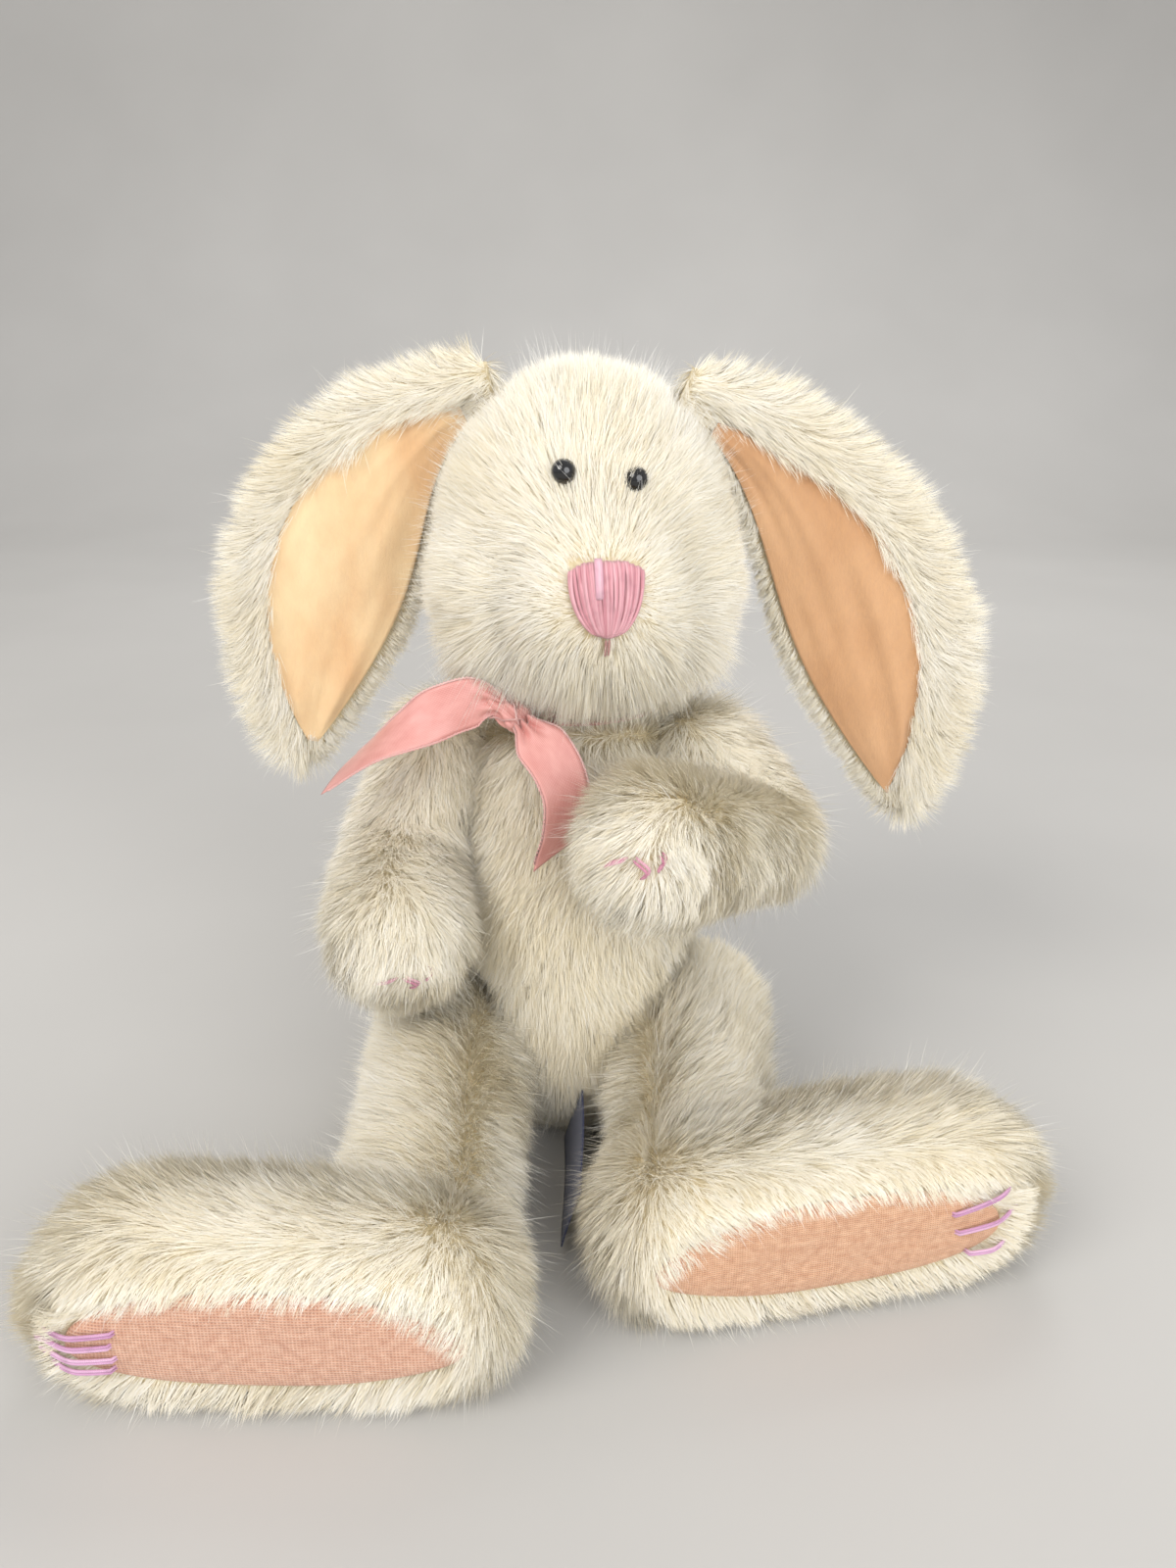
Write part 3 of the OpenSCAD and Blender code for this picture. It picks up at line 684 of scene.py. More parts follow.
def ear_lining(side):
    """Suede sheet with long soft folds, sewn a little in from the ear's edges."""
    steps, columns = 90, 40
    word = SIDE_NAME[side]
    t = np.linspace(LINING_FROM, LINING_TO, steps)[:, None]
    f = np.linspace(0, 1, columns)[None, :]
    low, high = lining_limits(side, t)
    s = low + (high - low) * f
    t = t * np.ones_like(f)
    f = f * np.ones_like(t)
    folds = np.array([[fold(side, a, b) for a, b in zip(*pair)] for pair in zip(t, s)])
    ends = np.minimum(t - LINING_FROM, LINING_TO - t)
    depth = FOLD_DEPTH * smooth(np.minimum(f, 1 - f), 0.0, 0.2) * smooth(ends, 0.0, 0.08)
    points = ear_point(side, t, s, 2 * LINING_OFF - depth * (0.55 + 0.9 * folds).clip(-0.1, 1.4))
    flat = np.stack([f * 35, t * 130], -1)
    obj = cloth(f"{word}_ear_lining_sheet", points, steps, columns, flat, SUEDE[side])
    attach(obj, f"{word}_ear")
    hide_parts(f"{word}_ear_lining")


ears = {s: ear_back(s) for s in SIDES}
for s in SIDES:
    ear_lining(s)

# ---- Pile: every hair is a thin curved blade

STATIONS = np.array([0.0, 0.36, 0.7, 1.0])
TAPER = np.array([1.0, 0.9, 0.6])
HAIR_FACES = np.array([[0, 1, 3], [0, 3, 2], [2, 3, 5], [2, 5, 4], [4, 5, 6]])
HAIRS_A_PIECE = 38000
HAIRS_A_CLUMP = 8
CLUMP_REACH = 3.2
FLAT_DEPTH = 1.2
THIN = 1.0
DENSITY = 6.6  # hairs a square mm
SPECK, SPECK_R = vec(-3.8, -20.5, 43.5), 1.4  # a brown spot on the belly


def roots(obj, density=DENSITY):
    """Evenly scattered points of a skin, with its smooth normals."""
    mesh = obj.data
    mesh.calc_loop_triangles()
    tri = read(mesh.loop_triangles, "vertices", 3, np.int32)
    co, normals = coords(mesh), vertex_normals(mesh)
    a, b, c = co[tri[:, 0]], co[tri[:, 1]], co[tri[:, 2]]
    area = norm(np.cross(b - a, c - a)) / 2
    n = int(area.sum() * density * THIN)
    corners = tri[rng.choice(len(tri), n, p=area / area.sum())]
    u = rng.random((n, 2))
    u = np.where(u.sum(1, keepdims=True) > 1, 1 - u, u)
    w = np.stack([1 - u.sum(1), u[:, 0], u[:, 1]], -1)[..., None]
    return (co[corners] * w).sum(1), unit((normals[corners] * w).sum(1))


def nearest(points, centres):
    tree = kdtree.KDTree(len(centres))
    for i, c in enumerate(centres):
        tree.insert(c, i)
    tree.balance()
    return np.array([tree.find(p)[1] for p in points])


def tangent(v, normal):
    return unit(v - dot(v, normal) * normal)


def turned(v, axis, angle):
    """v, square to axis, turned about it by an angle for each row."""
    return np.cos(angle)[:, None] * v + np.sin(angle)[:, None] * np.cross(axis, v)


def drifts(p):
    """Three slow random waves over the toy: middling, fine and broad."""
    p = Vector(p)
    return noise.noise(p / 17), noise.noise(p / 6 + Vector((9, 3, 5))), noise.noise(p / 24 + Vector((4, 11, 2)))


def grow(name, body, at, normal, comb, length, lift, bend, width=0.135, tone=0.0, clump=0.34, wild=0.17):
    """Hairs from roots: comb is where they lie, lift and bend their angle from upright at the root and tip."""
    n = len(at)
    heads = rng.choice(n, min(max(8, n // HAIRS_A_CLUMP), n), replace=False)
    group = nearest(at, at[heads])
    drift = np.array([drifts(p) for p in at[heads]])
    swing = 0.55 * drift[:, 0] + 0.4 * drift[:, 1] + rng.normal(0, 0.14, len(heads))
    comb = turned(tangent(comb, normal), normal, swing[group] + rng.normal(0, wild, n))
    length = length * (0.86 + 0.28 * rng.random(n)) * (1 + 0.25 * drift[group, 1])
    lift = lift + rng.normal(0, 0.13, n) + 0.22 * drift[group, 2]
    bend = bend + rng.normal(0, 0.16, n)
    points = [at - 0.5 * normal]
    directions = []
    for k in range(3):
        mid = (STATIONS[k] + STATIONS[k + 1]) / 2
        angle = (lift + (bend - lift) * mid)[:, None]
        way = np.cos(angle) * normal + np.sin(angle) * comb
        points.append(points[-1] + way * (length * (STATIONS[k + 1] - STATIONS[k]))[:, None])
        directions.append(way)
    strength = (clump * (0.45 + 0.9 * rng.random(len(heads))))[group]
    pull = points[3][heads][group] - points[3]
    pull *= np.minimum(1, CLUMP_REACH / np.maximum(norm(pull)[:, None], 1e-6))
    for k in (1, 2, 3):
        points[k] = points[k] + pull * (strength * STATIONS[k] ** 1.6)[:, None]
        points[k][:, 2] = np.maximum(points[k][:, 2], GROUND)
    hue = 0.5 + tone + 0.22 * drift[group, 2] + 0.08 * rng.normal(0, 1, len(heads))[group]
    hue = np.clip(hue + rng.normal(0, 0.13, n), 0.05, 0.99)
    hue[norm(at - SPECK) < SPECK_R] = 0.01
    column = (np.floor(hue * PALETTE) + 0.5) / PALETTE
    side = unit(np.cross(directions[1], normal + rng.normal(0, 0.35, (n, 3))))
    side = np.where(dot(np.cross(side, directions[1]), normal) < 0, -side, side)
    wide = width * (0.75 + 0.5 * rng.random(n))[:, None] / 2
    verts, shade, uv = np.empty((n, 7, 3)), np.empty((n, 7, 3)), np.empty((n, 7, 2))
    for k in range(4):
        pair = [2 * k, min(2 * k + 1, 6)]
        half = side * wide * TAPER[k] if k < 3 else 0
        verts[:, pair[0]], verts[:, pair[1]] = points[k] - half, points[k] + half
        blade = np.cross(side, directions[min(k, 2)])
        blade = np.where(dot(blade, normal) < 0, -blade, blade)
        shade[:, pair] = unit(0.68 * normal + 0.32 * unit(blade))[:, None]
        uv[:, pair, 0] = column[:, None] + np.array([-0.35, 0.35]) / PALETTE
        uv[:, pair, 1] = 0.01 + 0.98 * STATIONS[k]
    uv[:, 6, 0] = column
    parts = max(1, math.ceil(n / HAIRS_A_PIECE))
    order = np.argsort(group, kind="stable")
    for k, chosen in enumerate(np.array_split(order, parts)):
        piece_name = f"{name}_{k + 1}" if parts > 1 else name
        m = len(chosen)
        faces = (HAIR_FACES[None] + 7 * np.arange(m)[:, None, None]).reshape(-1, 3)
        mesh = bpy.data.meshes.new(piece_name)
        mesh.vertices.add(7 * m)
        mesh.vertices.foreach_set("co", (verts[chosen] * MM).ravel())
        mesh.loops.add(len(faces) * 3)
        mesh.loops.foreach_set("vertex_index", faces.ravel().astype(np.int32))
        mesh.polygons.add(len(faces))
        mesh.polygons.foreach_set("loop_start", np.arange(len(faces), dtype=np.int32) * 3)
        mesh.update(calc_edges=True)
        map_points(mesh, "OFBake", uv[chosen])
        obj = new_object(piece_name, mesh, PILE, None)
        mesh.normals_split_custom_set_from_vertices(shade[chosen].reshape(-1, 3))
        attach(obj, body)


def coat(part, at, normal, comb, length, lift, bend, body=None, tone=0.0, **more):
    """The pile proper, with stray long hairs among it."""
    body = body or part
    grow(f"{part}_pile", body, at, normal, comb, length, lift, bend, tone=tone, **more)
    few = rng.random(len(at)) < 0.03
    size = np.broadcast_to(length, (len(at),))[few] * 1.35
    angle = np.broadcast_to(lift, (len(at),))[few]
    grow(f"{part}_pile_stray", body, at[few], normal[few], comb[few], size, angle * 0.7, angle * 0.9,
         width=0.085, clump=0.0, wild=0.45, tone=tone + 0.3)


def clear_of_flat(at, place, way, radius):
    """False for roots on the flat of a disc joint."""
    out = (at - place) @ way
    return ~((np.abs(out) < FLAT_DEPTH) & (norm(at - place - out[:, None] * way) < radius))


NOSE_W, NOSE_H, NOSE_RISE = 8.4, 8.8, 3.5
NOSE_AT = face(0, -46.5, -11.5)
EYES = {s: face(s * 8.5, -31, 15 - s) for s in SIDES}


def nose_half(z):
    """Half width of the nose at a height: a shield, broad above and narrow below."""
    g = (z + NOSE_H) / (2 * NOSE_H)
    return NOSE_W * (1 - (1 - np.clip(g, 0, 1)) ** 2.6) ** 0.6 + 0.3


def fur_head():
    at, normal = roots(head)
    ok = clear_of_flat(at, FACES["neck"], UP, 17)
    local = at - NOSE_AT
    beside = np.abs(rotate_z(local, -HEAD_TURN)[:, 0])
    ok &= ~((beside < nose_half(local[:, 2]) - 1.0) & (np.abs(local[:, 2]) < NOSE_H - 1.2) & (at[:, 1] < -20))
    for s in SIDES:
        ok &= (norm(at - EYES[s]) > 2.3) | (at[:, 1] > 0)
    at, normal = at[ok], normal[ok]
    local = at - NOSE_AT
    away = norm(local)
    comb = unit(local + vec(0, 0, -6) * smooth(away, 70, 90)[:, None])
    crown = smooth(at[:, 1], 10, 40)[:, None]
    comb = unit(comb * (1 - crown) + vec(0, 0.3, -1) * crown)
    front = 1 - smooth(away, 20, 60)
    length = 10.5 - 5.0 * (1 - smooth(away, 9, 24)) - 1.5 * front
    for s in SIDES:
        near = 1 - smooth(norm(at - EYES[s]), 4, 10)
        length -= 1.5 * near * (at[:, 2] > EYES[s][2])
    top = smooth(at[:, 2], 188, 200)
    chin = smooth(-normal[:, 2], 0.2, 0.7) * smooth(-at[:, 1], -20, 0)
    nape = (1 - smooth((at - NECK) @ UP, 6, 22)) * smooth(at[:, 1], 15, 28)
    comb = unit(comb + 0.9 * chin[:, None] * vec(0, -0.6, -1))
    length = length + 5.0 * chin + 3.0 * nape
    lift = 0.85 - 0.25 * top - 0.1 * (1 - front) - 0.4 * chin - 0.35 * nape
    bend = 1.2 - 0.35 * top - 0.65 * chin - 0.3 * nape
    coat("head", at, normal, comb, length, lift, bend, tone=0.05)


def fur_torso():
    at, normal = roots(torso)
    ok = clear_of_flat(at, NECK, UP, 24) & (at[:, 2] > GROUND + 0.6) & (norm(at - TAIL_AT) > 9)
    for s in SIDES:
        ok &= clear_of_flat(at, SHOULDER[s], SHOULDER_WAY[s], 14.5) & clear_of_flat(at, HIP[s], HIP_WAY[s], 17.5)
    at, normal = at[ok], normal[ok]
    comb = unit(-UP + 0.25 * vec(1, 0, 0) * (at[:, :1] / 30))
    high = smooth(at @ UP - SEAT @ UP, 82, 90)
    comb = unit(comb * (1 - high[:, None]) + high[:, None] * vec(0, -0.5, 0.6))
    coat("torso", at, normal, comb, 9.5 + 2.0 * high, 0.8 - 0.35 * high, 1.25 - 0.7 * high, tone=-0.06)


def fur_tail():
    at, normal = roots(tail)
    ok = (at - TAIL_AT) @ TAIL_WAY > 0.8
    at, normal = at[ok], normal[ok]
    comb = unit(at - TAIL_AT - 4 * TAIL_WAY) - 0.4 * UP
    coat("tail", at, normal, comb, 8.0, 0.3, 0.55, body="torso", clump=0.3)


def route_flow(at, route):
    """Way along the nearest stretch of a route."""
    best, way = np.full(len(at), 1e9), np.zeros_like(at)
    for a, b in zip(route[:-1], route[1:]):
        t = np.clip((at - a) @ (b - a) / np.linalg.norm(b - a) ** 2, 0, 1)
        gap = norm(at - (a + t[:, None] * (b - a)))
        closer = gap < best
        best[closer], way[closer] = gap[closer], unit(b - a)
    return way


CLAW_LOOK = {RIGHT: unit(vec(0.3, -0.9, -0.3)), LEFT: unit(vec(-0.2, -0.95, 0.2))}


def fur_arm(s):
    at, normal = roots(arms[s])
    ok = clear_of_flat(at, FACES["arm", s], SHOULDER_WAY[s], 14)
    at, normal = at[ok], normal[ok]
    claw = ARM[s][2] + CLAW_LOOK[s] * ARM_R[2]
    gap = norm(at - claw)
    end = (1 - smooth(gap, 4, 17))[:, None]
    comb = unit(route_flow(at, ARM[s]) * (1 - 0.6 * end) + unit(at - claw) * end * 0.7 + vec(0, 0, -0.9))
    length = 10.0 - 5.2 * (1 - smooth(gap, 2.0, 10))
    coat(f"{SIDE_NAME[s]}_arm", at, normal, comb, length, 0.8, 1.15, tone=0.05)


PAD_Z = 19.0
PAD_FROM, PAD_TO = -12.5, 70.5


def sole_frame(s):
    """Middle of the heel end of a sole, its way to the toe, and its way out."""
    return FOOT[s][0] + (SOLE_DEPTH + 0.1) * SOLE_WAY[s], TOE_WAY[s], SOLE_WAY[s]


def pad_outline(count):
    """The pad's outline: along the foot, and its lower and upper edge there."""
    f = np.linspace(0, 1, count)
    x = PAD_FROM + (PAD_TO - PAD_FROM) * (0.5 - 0.5 * np.cos(np.pi * f))
    g = (x - PAD_FROM) / (PAD_TO - PAD_FROM)
    full = np.sqrt(np.clip(1 - np.abs(2 * g - 1) ** 2.6, 0, 1))
    heel = smooth(g, -0.05, 0.4)
    return x, -full * (8.5 + 2.2 * heel), full * (10.8 + 3.2 * heel)


def pad_inside(s, at, margin):
    origin, toe, out = sole_frame(s)
    x = (at - origin) @ toe
    z = at[:, 2] - PAD_Z
    xs, lower, upper = pad_outline(60)
    low, high = np.interp(x, xs, lower), np.interp(x, xs, upper)
    on_sole = (at - origin) @ out > -1.5
    return (x > PAD_FROM + margin) & (x < PAD_TO - margin) & (z > low + margin) & (z < high - margin) & on_sole


def fur_leg(s):
    at, normal = roots(legs[s])
    ok = clear_of_flat(at, FACES["leg", s], HIP_WAY[s], 17) & (at[:, 2] > GROUND + 0.8) & ~pad_inside(s, at, 0.3)
    at, normal = at[ok], normal[ok]
    origin, toe, out = sole_frame(s)
    ankle = FOOT[s][0]
    to_toe = (at - origin) @ toe
    foot = smooth(to_toe, -16, 2)[:, None]
    foot = np.maximum(foot, smooth(ankle[1] + 5 - at[:, 1], 0, 14)[:, None])
    around = unit(at - (ankle + np.clip((at - ankle) @ toe, 0, 60)[:, None] * toe))
    on_foot = 0.45 * toe + 0.9 * around + 0.35 * out + vec(0, 0, 0.15)
    comb = unit(route_flow(at, LEG[s]) * (1 - foot) + on_foot * foot)
    heel = (smooth(24 - to_toe, 0, 22) * smooth(60 - at[:, 2], 0, 20))[:, None]
    comb = unit(comb * (1 - 0.75 * heel) + heel * (0.5 * toe + 0.4 * out - vec(0, 0, 0.8)))
    rim = smooth((at - origin) @ out, -9, -2)
    over = (0.75 * rim * smooth(at[:, 2] - PAD_Z, 6, 11))[:, None]
    comb = unit(comb * (1 - over) + over * (0.5 * toe + 0.9 * out - vec(0, 0, 0.9)))
    length = 10.5 - 3.8 * rim - 2.2 * over[:, 0]
    lift = 0.7 - 0.1 * foot[:, 0] + 0.25 * rim
    coat(f"{SIDE_NAME[s]}_leg", at, normal, comb, length, lift, lift + 0.35, tone=0.02)


def fur_ear(s):
    at, normal = roots(ears[s], DENSITY * 1.15)
    line = EAR_LINE[s]
    ts = np.linspace(0, 1, 121)
    t = ts[norm(at[:, None, [0, 2]] - along(line, ts)[None]).argmin(1)]
    way = heading(line, t)
    across = outward(way, s)
    offset = ((at[:, [0, 2]] - along(line, t)) * across).sum(1)
    low, high = lining_limits(s, t)
    w = ear_width(t)
    front = normal[:, 1] < -0.2
    bare = ~(front & (offset > low * w + 0.5) & (offset < high * w - 1.2) & (t > 0.12) & (t < 0.93))
    at, normal, way, across, offset, front, t, w = (a[bare] for a in (at, normal, way, across, offset, front, t, w))
    flat = np.zeros(len(way))
    way3 = np.stack([way[:, 0], flat, way[:, 1]], -1)
    out3 = np.stack([across[:, 0], flat, across[:, 1]], -1) * np.sign(offset)[:, None]
    edge = smooth(np.abs(offset) / np.maximum(w, 1), 0.45, 1.0)[:, None]
    comb = unit(way3 * (1 - 0.6 * edge) + out3 * edge * 1.2)
    comb[dot(normal, way3)[:, 0] < -0.5] = vec(0, -0.3, -1)
    length = np.where(front & (offset < 0), 4.5, 9.5)
    length = np.where(offset < -0.8 * w, np.minimum(length, 6.0), length)
    length = length * (0.7 + 0.3 * smooth(t, 0.0, 0.1))
    lift = np.where(front, 0.75, 0.8) + 0.2 * (1 - smooth(t, 0.0, 0.08))
    word = SIDE_NAME[s]
    coat(f"{word}_ear", at, normal, comb, length, lift, lift + 0.3, tone=0.08)


fur_head()
fur_torso()
fur_tail()
for s in SIDES:
    fur_arm(s)
    fur_leg(s)
    fur_ear(s)

# ---- Threads


def tubes(name, paths, radius, material, body, sides=6):
    """Round threads along lists of points, with a map that counts them across."""
    points, faces, uvs = [], [], []
    for number, path in enumerate(paths):
        path = np.asarray(path, float)
        step = unit(np.gradient(path, axis=0))
        side = unit(np.cross(step, vec(0.31, 0.2, 0.93) if abs(step[0][2]) < 0.8 else vec(0, 1, 0.1)))
        other = np.cross(side, step)
        r = np.full(len(path), radius)
        r[[0, -1]] *= 0.6
        travel = travel_of(path)
        faces += loft_faces(len(path), sides, len(points))
        for i in range(len(path)):
            for j in range(sides):
                a = 2 * math.pi * j / sides
                points.append(path[i] + r[i] * (math.cos(a) * side[i] + math.sin(a) * other[i]))
                uvs.append((number + 0.1 + 0.8 * j / sides, travel[i]))
    mesh = mesh_of(name, points, faces)
    map_points(mesh, "thread", uvs)
    face_outward(mesh)
    return new_object(name, mesh, material, body)


def nose_surface(x, z, proud):
    """Point on the muzzle under (x, z) of the nose patch, pushed out."""
    z = z + NOSE_RISE
    y = -np.sqrt(np.maximum(MUZZLE_R ** 2 - x ** 2 - z ** 2, 1.0))
    p = np.stack([x, y, z], -1) * (1 + proud / MUZZLE_R)[..., None]
    return SKULL + rotate_z(p + MUZZLE, HEAD_TURN)


def nose():
    paths, steps = [], 22
    arch = np.sin(np.linspace(0, math.pi, steps))
    for count, proud in ((17, 0.7), (30, 1.35)):
        for f in np.linspace(-1, 1, count):
            top = NOSE_H * (1 - 0.28 * abs(f) ** 2.4) * (1 - 0.05 * rng.random())
            bottom = -NOSE_H * (1 - 0.06 * rng.random() - 0.1 * abs(f))
            z = np.linspace(top, bottom, steps)
            wander = 0.25 * arch * rng.normal()
            x = f * (nose_half(np.minimum(z, 0.8 * NOSE_H)) - 0.4) + wander
            dome = np.sqrt(np.clip(1 - (z / NOSE_H) ** 6, 0, 1))
            height = -0.6 + (proud + 0.6) * dome * (1 - 0.3 * abs(f) ** 3) + 0.25 * rng.random()
            paths.append(nose_surface(x, z, height))
    obj = tubes("nose_threads", paths, 0.46, NOSE, "head")
    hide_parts("nose_stitching")
    # Pale threads on the upper part of the nose, on its side towards the key light: a painted highlight.
    steps = 14
    z = np.linspace(NOSE_H * 0.97, 0.5, steps)
    height = 1.75 + 0.3 * np.sin(np.linspace(0, math.pi, steps))
    highlight_threads = [nose_surface(np.full(steps, -1.9 + 0.35 * k), z, height) for k in (-1.5, -0.5, 0.5, 1.5)]
    tubes("nose_painted_highlight_stitch", highlight_threads, 0.42, NOSE_PAINTED_HIGHLIGHT, "head")
    middle = nose_surface(np.zeros(8), np.linspace(-NOSE_H, -NOSE_H - 4.2, 8), np.full(8, 0.8))
    paths = [middle + rotate_z([dx, 0, 0], HEAD_TURN) for dx in (-0.4, 0.35)]
    obj = tubes("mouth_thread", paths, 0.33, MOUTH, "head")
    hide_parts("mouth_stitch")


nose()

CLAW_FANS = ((-24, -8, 5, 5), (4, -3, 11, -7), (31, -2, 8, 6))  # degrees across, from and to down, and drift


def claws(s):
    """Three bunches of thread fanned over the end of a paw."""
    look = CLAW_LOOK[s]
    side = unit(np.cross(look, vec(0, 0, 1)))
    up = np.cross(side, look)
    paths = []
    for spread, start, end, drift in CLAW_FANS:
        for strand in (-0.6, 0.6):
            path = []
            for q in np.linspace(start, end, 9):
                a = math.radians(spread * (0.3 + (q + 9) / 34) + 1.6 * strand + drift * math.sin(q / 4))
                b = math.radians(q + 2 * strand)
                arch = math.sin(math.pi * (0.1 + 0.8 * (q - start) / (end - start))) ** 0.5
                way = look + math.tan(a) * side - math.tan(b) * up
                path.append(ARM[s][2] + (ARM_R[2] + 1.5 * arch) * unit(way))
            paths.append(path)
    obj = tubes(f"{SIDE_NAME[s]}_claw_threads", paths, 0.4, CLAW, f"{SIDE_NAME[s]}_arm")
    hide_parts(f"{SIDE_NAME[s]}_claw_stitches")


for s in SIDES:
    claws(s)

# ---- Foot pads


def foot_pad(s):
    """Linen pad sewn to the sole, a little crowned, with its edge turned in."""
    origin, toe, out = sole_frame(s)
    word = SIDE_NAME[s]
    steps, columns = 120, 36
    x, lower, upper = pad_outline(steps)
    f = np.linspace(0, 1, columns)[None, :]
    tall = (upper - lower)[:, None]
    z = lower[:, None] + tall * f
    inward = np.minimum(2 * np.minimum(f, 1 - f) * tall / 2, np.minimum(x - PAD_FROM, PAD_TO - x)[:, None])
    crown = 0.25 + 1.5 * np.sqrt(np.clip(1 - (1 - np.clip(inward / 7.0, 0, 1)) ** 2, 0, 1))
    ripple = np.array([[noise.noise(Vector((a / 9, b / 7, 1.7 * s))) for b in row_z] for a, row_z in zip(x, z)])
    crown = crown + 0.35 * ripple * smooth(inward, 0, 3)
    points = origin + x[:, None, None] * toe + crown[..., None] * out
    points[..., 2] = PAD_Z + z
    flat = np.stack([x[:, None] * np.ones_like(z), z], -1)
    obj = cloth(f"{word}_sole_cloth", points, steps, columns, flat, LINEN[s])
    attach(obj, f"{word}_leg")
    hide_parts(f"{word}_foot_pad")
    flat = ((upper.max() - lower.min()) * MM, (PAD_TO - PAD_FROM) * MM)


TOE_FANS = {  # each stitch's two ends: along the foot, and up from the pad's middle
    RIGHT: [((58.5, 5.0), (75.5, 3.5)), ((59.5, 1.5), (77.5, 0.5)),
            ((59.0, -2.0), (77.0, -2.5)), ((60.0, -5.0), (74.5, -5.0))],
    LEFT: [((56.5, 6.0), (71.5, 10.5)), ((58.0, 0.5), (75.5, 3.5)), ((62.0, -6.0), (73.0, -5.5))],
}


def toe_threads(s):
    """Long stitches from the pad over the toe, fanned."""
    origin, toe, out = sole_frame(s)
    word = SIDE_NAME[s]
    paths = []
    q = np.linspace(0, 1, 14)
    for (x0, z0), (x1, z1) in TOE_FANS[s]:
        for strand in (-0.5, 0.5):
            x = x0 + (x1 - x0) * q
            height = 2.55 + 0.5 * np.sin(np.pi * q) - 3.4 * smooth(x, 67.5, 78.0) - 1.6 * (q < 0.04)
            p = origin + x[:, None] * toe + height[:, None] * out
            p[:, 2] = PAD_Z + (z0 + (z1 - z0) * q + 0.75 * strand)
            paths.append(p)
    obj = tubes(f"{word}_toe_threads", paths, 0.33, LILAC, f"{word}_leg")
    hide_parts(f"{word}_toe_stitches")


for s in SIDES:
    foot_pad(s)
    toe_threads(s)

# ---- Ribbon and tag

RIBBON_W = 12.7
CUT_LONG = 14  # length over which a tail's end is cut to a slant


def curve_through(points, count):
    """Even steps along a smooth curve through points, and its length."""
    p = np.asarray(points, float)
    p = np.vstack([2 * p[0] - p[1], p, 2 * p[-1] - p[-2]])
    dense = []
    for i in range(1, len(p) - 2):
        a, b, c, d = p[i - 1:i + 3]
        for q in np.linspace(0, 1, 24, endpoint=False):
            square, cube = (2 * a - 5 * b + 4 * c - d) * q ** 2, (3 * b - a - 3 * c + d) * q ** 3
            dense.append(0.5 * (2 * b + (c - a) * q + square + cube))
    dense.append(p[-2])
    dense = np.array(dense)
    travel = travel_of(dense[:, :3])
    at = np.linspace(0, travel[-1], count)
    return np.stack([np.interp(at, travel, dense[:, k]) for k in range(dense.shape[1])], -1), travel[-1]


def strip(name, route, widths, cut, replaced, blend=None, gather=0.0, pinched=False):
    """A ribbon: its middle line, the way across at each point, and how its far end is cut."""
    both = np.hstack([np.asarray(route, float), unit(widths)])
    columns = 15
    line, long = curve_through(both, max(24, int(len(both) * 10)))
    middle, across = line[:, :3], unit(line[:, 3:])
    step = unit(np.gradient(middle, axis=0))
    across = unit(across - dot(across, step) * step)
    out = unit(np.cross(step, across))
    f = np.linspace(-1, 1, columns)
    rows = len(middle)
    travel = np.linspace(0, long, rows)
    squeeze = np.full((rows, 1), 1 - gather)
    if pinched:
        squeeze = 0.4 + 0.6 * smooth(travel[:, None], 0, 9)
    slant = np.clip((travel - (long - CUT_LONG)) / CUT_LONG, 0, 1) * cut
    points = np.empty((rows, columns, 3))
    for j, v in enumerate(f):
        rise = 0.5 * v * v + 2.6 * (1 - squeeze[:, 0]) * math.cos(2.5 * math.pi * v)
        points[:, j] = middle + across * (v * RIBBON_W / 2 * squeeze) + out * rise[:, None]
        points[:, j] -= step * (slant * v)[:, None]
    flat = np.stack(np.broadcast_arrays(f[None, :] * RIBBON_W / 2, travel[:, None]), -1)
    obj = cloth(name, points, rows, columns, flat, SATIN, 0.22)
    edges = []
    for j, way in ((0, -1), (columns - 1, 1)):
        fine, _ = curve_through(points[:, j][:: max(1, rows // 16)], max(12, int(long / 0.32)))
        beat = np.arange(len(fine))
        push = across[np.clip((beat * rows / len(fine)).astype(int), 0, rows - 1)] * way
        edges.append(fine + push * (0.18 + 0.22 * (beat % 3 == 0))[:, None])
    picot = tubes(f"{name}_picot", edges, 0.3, PICOT, None, sides=5)
    for piece in (obj, picot):
        if blend:
            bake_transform(piece)
        else:
            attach(piece, "torso")
    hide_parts(replaced)


LOOP_MIDDLE, LOOP_R = vec(0, 23, 118.6), 25.4
LOOP_START = math.radians(-121)
ring = [vec(math.cos(a), math.sin(a), 0) for a in np.linspace(0, 2 * math.pi, 26) + LOOP_START]
strip(
    "ribbon_neck_band", [LOOP_MIDDLE + LOOP_R * p for p in ring], [0.12 * p + vec(0, 0, 1) for p in ring],
    0, "ribbon_loop", gather=0.6)
strip(
    "ribbon_tail_over_arm",
    [(-17.5, -8.5, 123.5), (-24, -9.5, 124.5), (-33, -11.5, 122.5),
     (-42, -13.0, 118.5), (-51, -14.0, 113.5), (-60.5, -13.5, 106.5)],
    [(0.1, -0.05, 0.9), (0.15, 0.1, 1), (0.35, 0.3, 1), (0.35, 0.75, 0.75), (0.15, 1.0, 0.35), (0.1, 1.0, 0.15)],
    4.0, "ribbon_right_tail", pinched=True,
    blend=("torso", "right_arm", vec(-24, -9, 124) * MM, vec(-55, -14, 106) * MM))
strip(
    "ribbon_tail_on_belly",
    [(-12.5, -12.5, 120), (-8.5, -17.5, 117), (-3.8, -21.0, 111),
     (-1.4, -23.5, 104), (-1.6, -25.5, 97), (-3.0, -27.0, 91)],
    [(0.9, 0.1, 0.35), (1, 0.25, 0.25), (0.95, 0.4, 0.1), (0.88, 0.5, -0.02), (0.88, 0.5, -0.15), (0.88, 0.45, -0.2)],
    6.0, "ribbon_left_tail", pinched=True)


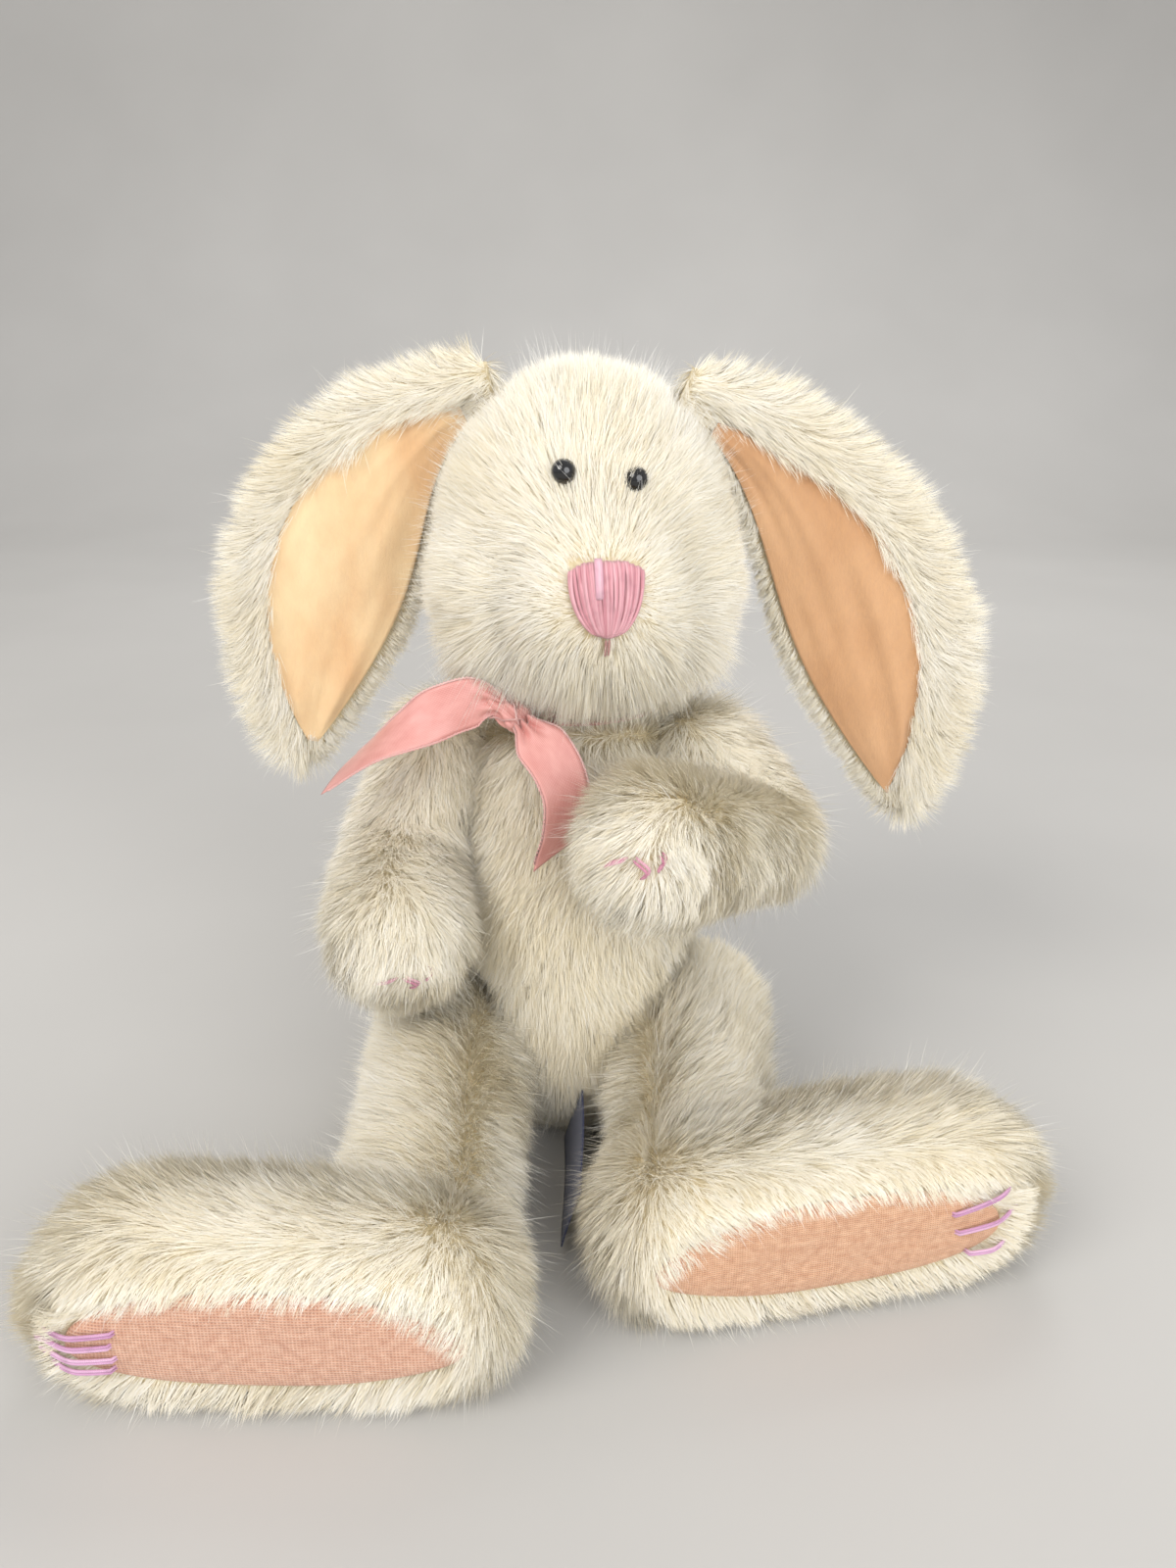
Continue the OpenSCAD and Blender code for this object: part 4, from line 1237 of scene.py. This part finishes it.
def ribbon_knot():
    """The tied knot: satin bunched into ridges that cross over a small core."""
    centre, half_long = vec(-16.8, -7.1, 122), 7.0
    way = unit(vec(0.75, -0.35, -0.55))
    side = unit(np.cross(way, vec(0, -1, 0.2)))
    out = np.cross(side, way)

    def bulge(v, r):
        return r * math.sqrt(max(1 - v ** 4, 0.0)) * (0.72 + 0.28 * abs(v) ** 0.7)

    def place(v, a, r):
        return centre + way * v * half_long + r * (math.cos(a) * side * 1.05 + math.sin(a) * out * 0.95)

    rows, columns = 44, 56
    points, flat = [], []
    for i in range(rows):
        v = -1 + 2 * i / (rows - 1)
        for j in range(columns):
            a = 2 * math.pi * j / columns
            ridge = 0.5 * math.sin(7 * a + 3.2 * v) + 0.35 * math.sin(4 * a - 5 * v + 1.3)
            points.append(place(v, a, bulge(v, 4.3) + ridge * math.sqrt(max(1 - v ** 2, 0))))
            flat.append((12 * j / columns, 14 * i / rows))
    mesh = mesh_of("ribbon_knot_bunch", points, grid_faces(rows, columns, closed=True))
    map_points(mesh, "cloth", flat)
    obj = new_object("ribbon_knot_bunch", mesh, SATIN, "torso")
    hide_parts("ribbon_knot")
    paths = []
    for turn, lean in ((0.6, 1.5), (2.4, -1.2), (3.9, 0.9), (5.3, -1.6)):
        beads = [(v, 0.35 * (int(v * 40) % 2)) for v in np.linspace(-0.85, 0.85, 40)]
        paths.append([place(v, turn + lean * v, bulge(v, 4.9) + bead) for v, bead in beads])
    tubes("ribbon_knot_picot", paths, 0.26, PICOT, "torso", sides=5)


ribbon_knot()

TAG_WIDE, TAG_LONG = 17.6, 41.5
TAG_AT = vec(0, -27, 11.5)
TAG_ROLL = math.radians(16)


def tag():
    """Woven label sewn in at the seat, blank, with a slight curl."""
    rows, columns = 30, 12
    across = vec(math.sin(TAG_ROLL), 0, math.cos(TAG_ROLL))
    out = vec(math.cos(TAG_ROLL), 0, -math.sin(TAG_ROLL))
    points, flat = [], []
    for i in range(rows):
        y = TAG_LONG * i / (rows - 1)
        for j in range(columns):
            v = -1 + 2 * j / (columns - 1)
            curl = 0.35 * math.sin(y / 9) + 0.25 * v * v * (y / TAG_LONG)
            points.append(TAG_AT + vec(0, -y, 0) + across * v * (TAG_WIDE / 2) + out * curl)
            flat.append((TAG_WIDE * j / (columns - 1), y))
    obj = cloth("sewn_tag_cloth", points, rows, columns, flat, TAG)
    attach(obj, "torso")
    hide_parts("sewn_tag")


tag()

# ---- CAD nodes that stay

for name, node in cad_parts.items():
    if node.hide_render:
        continue
    metal = "lock" in name or name.endswith("eye_washer")
    node.data.materials.clear()
    node.data.materials.append(BEAD if name.endswith("_eye") else STEEL if metal else PLASTIC)
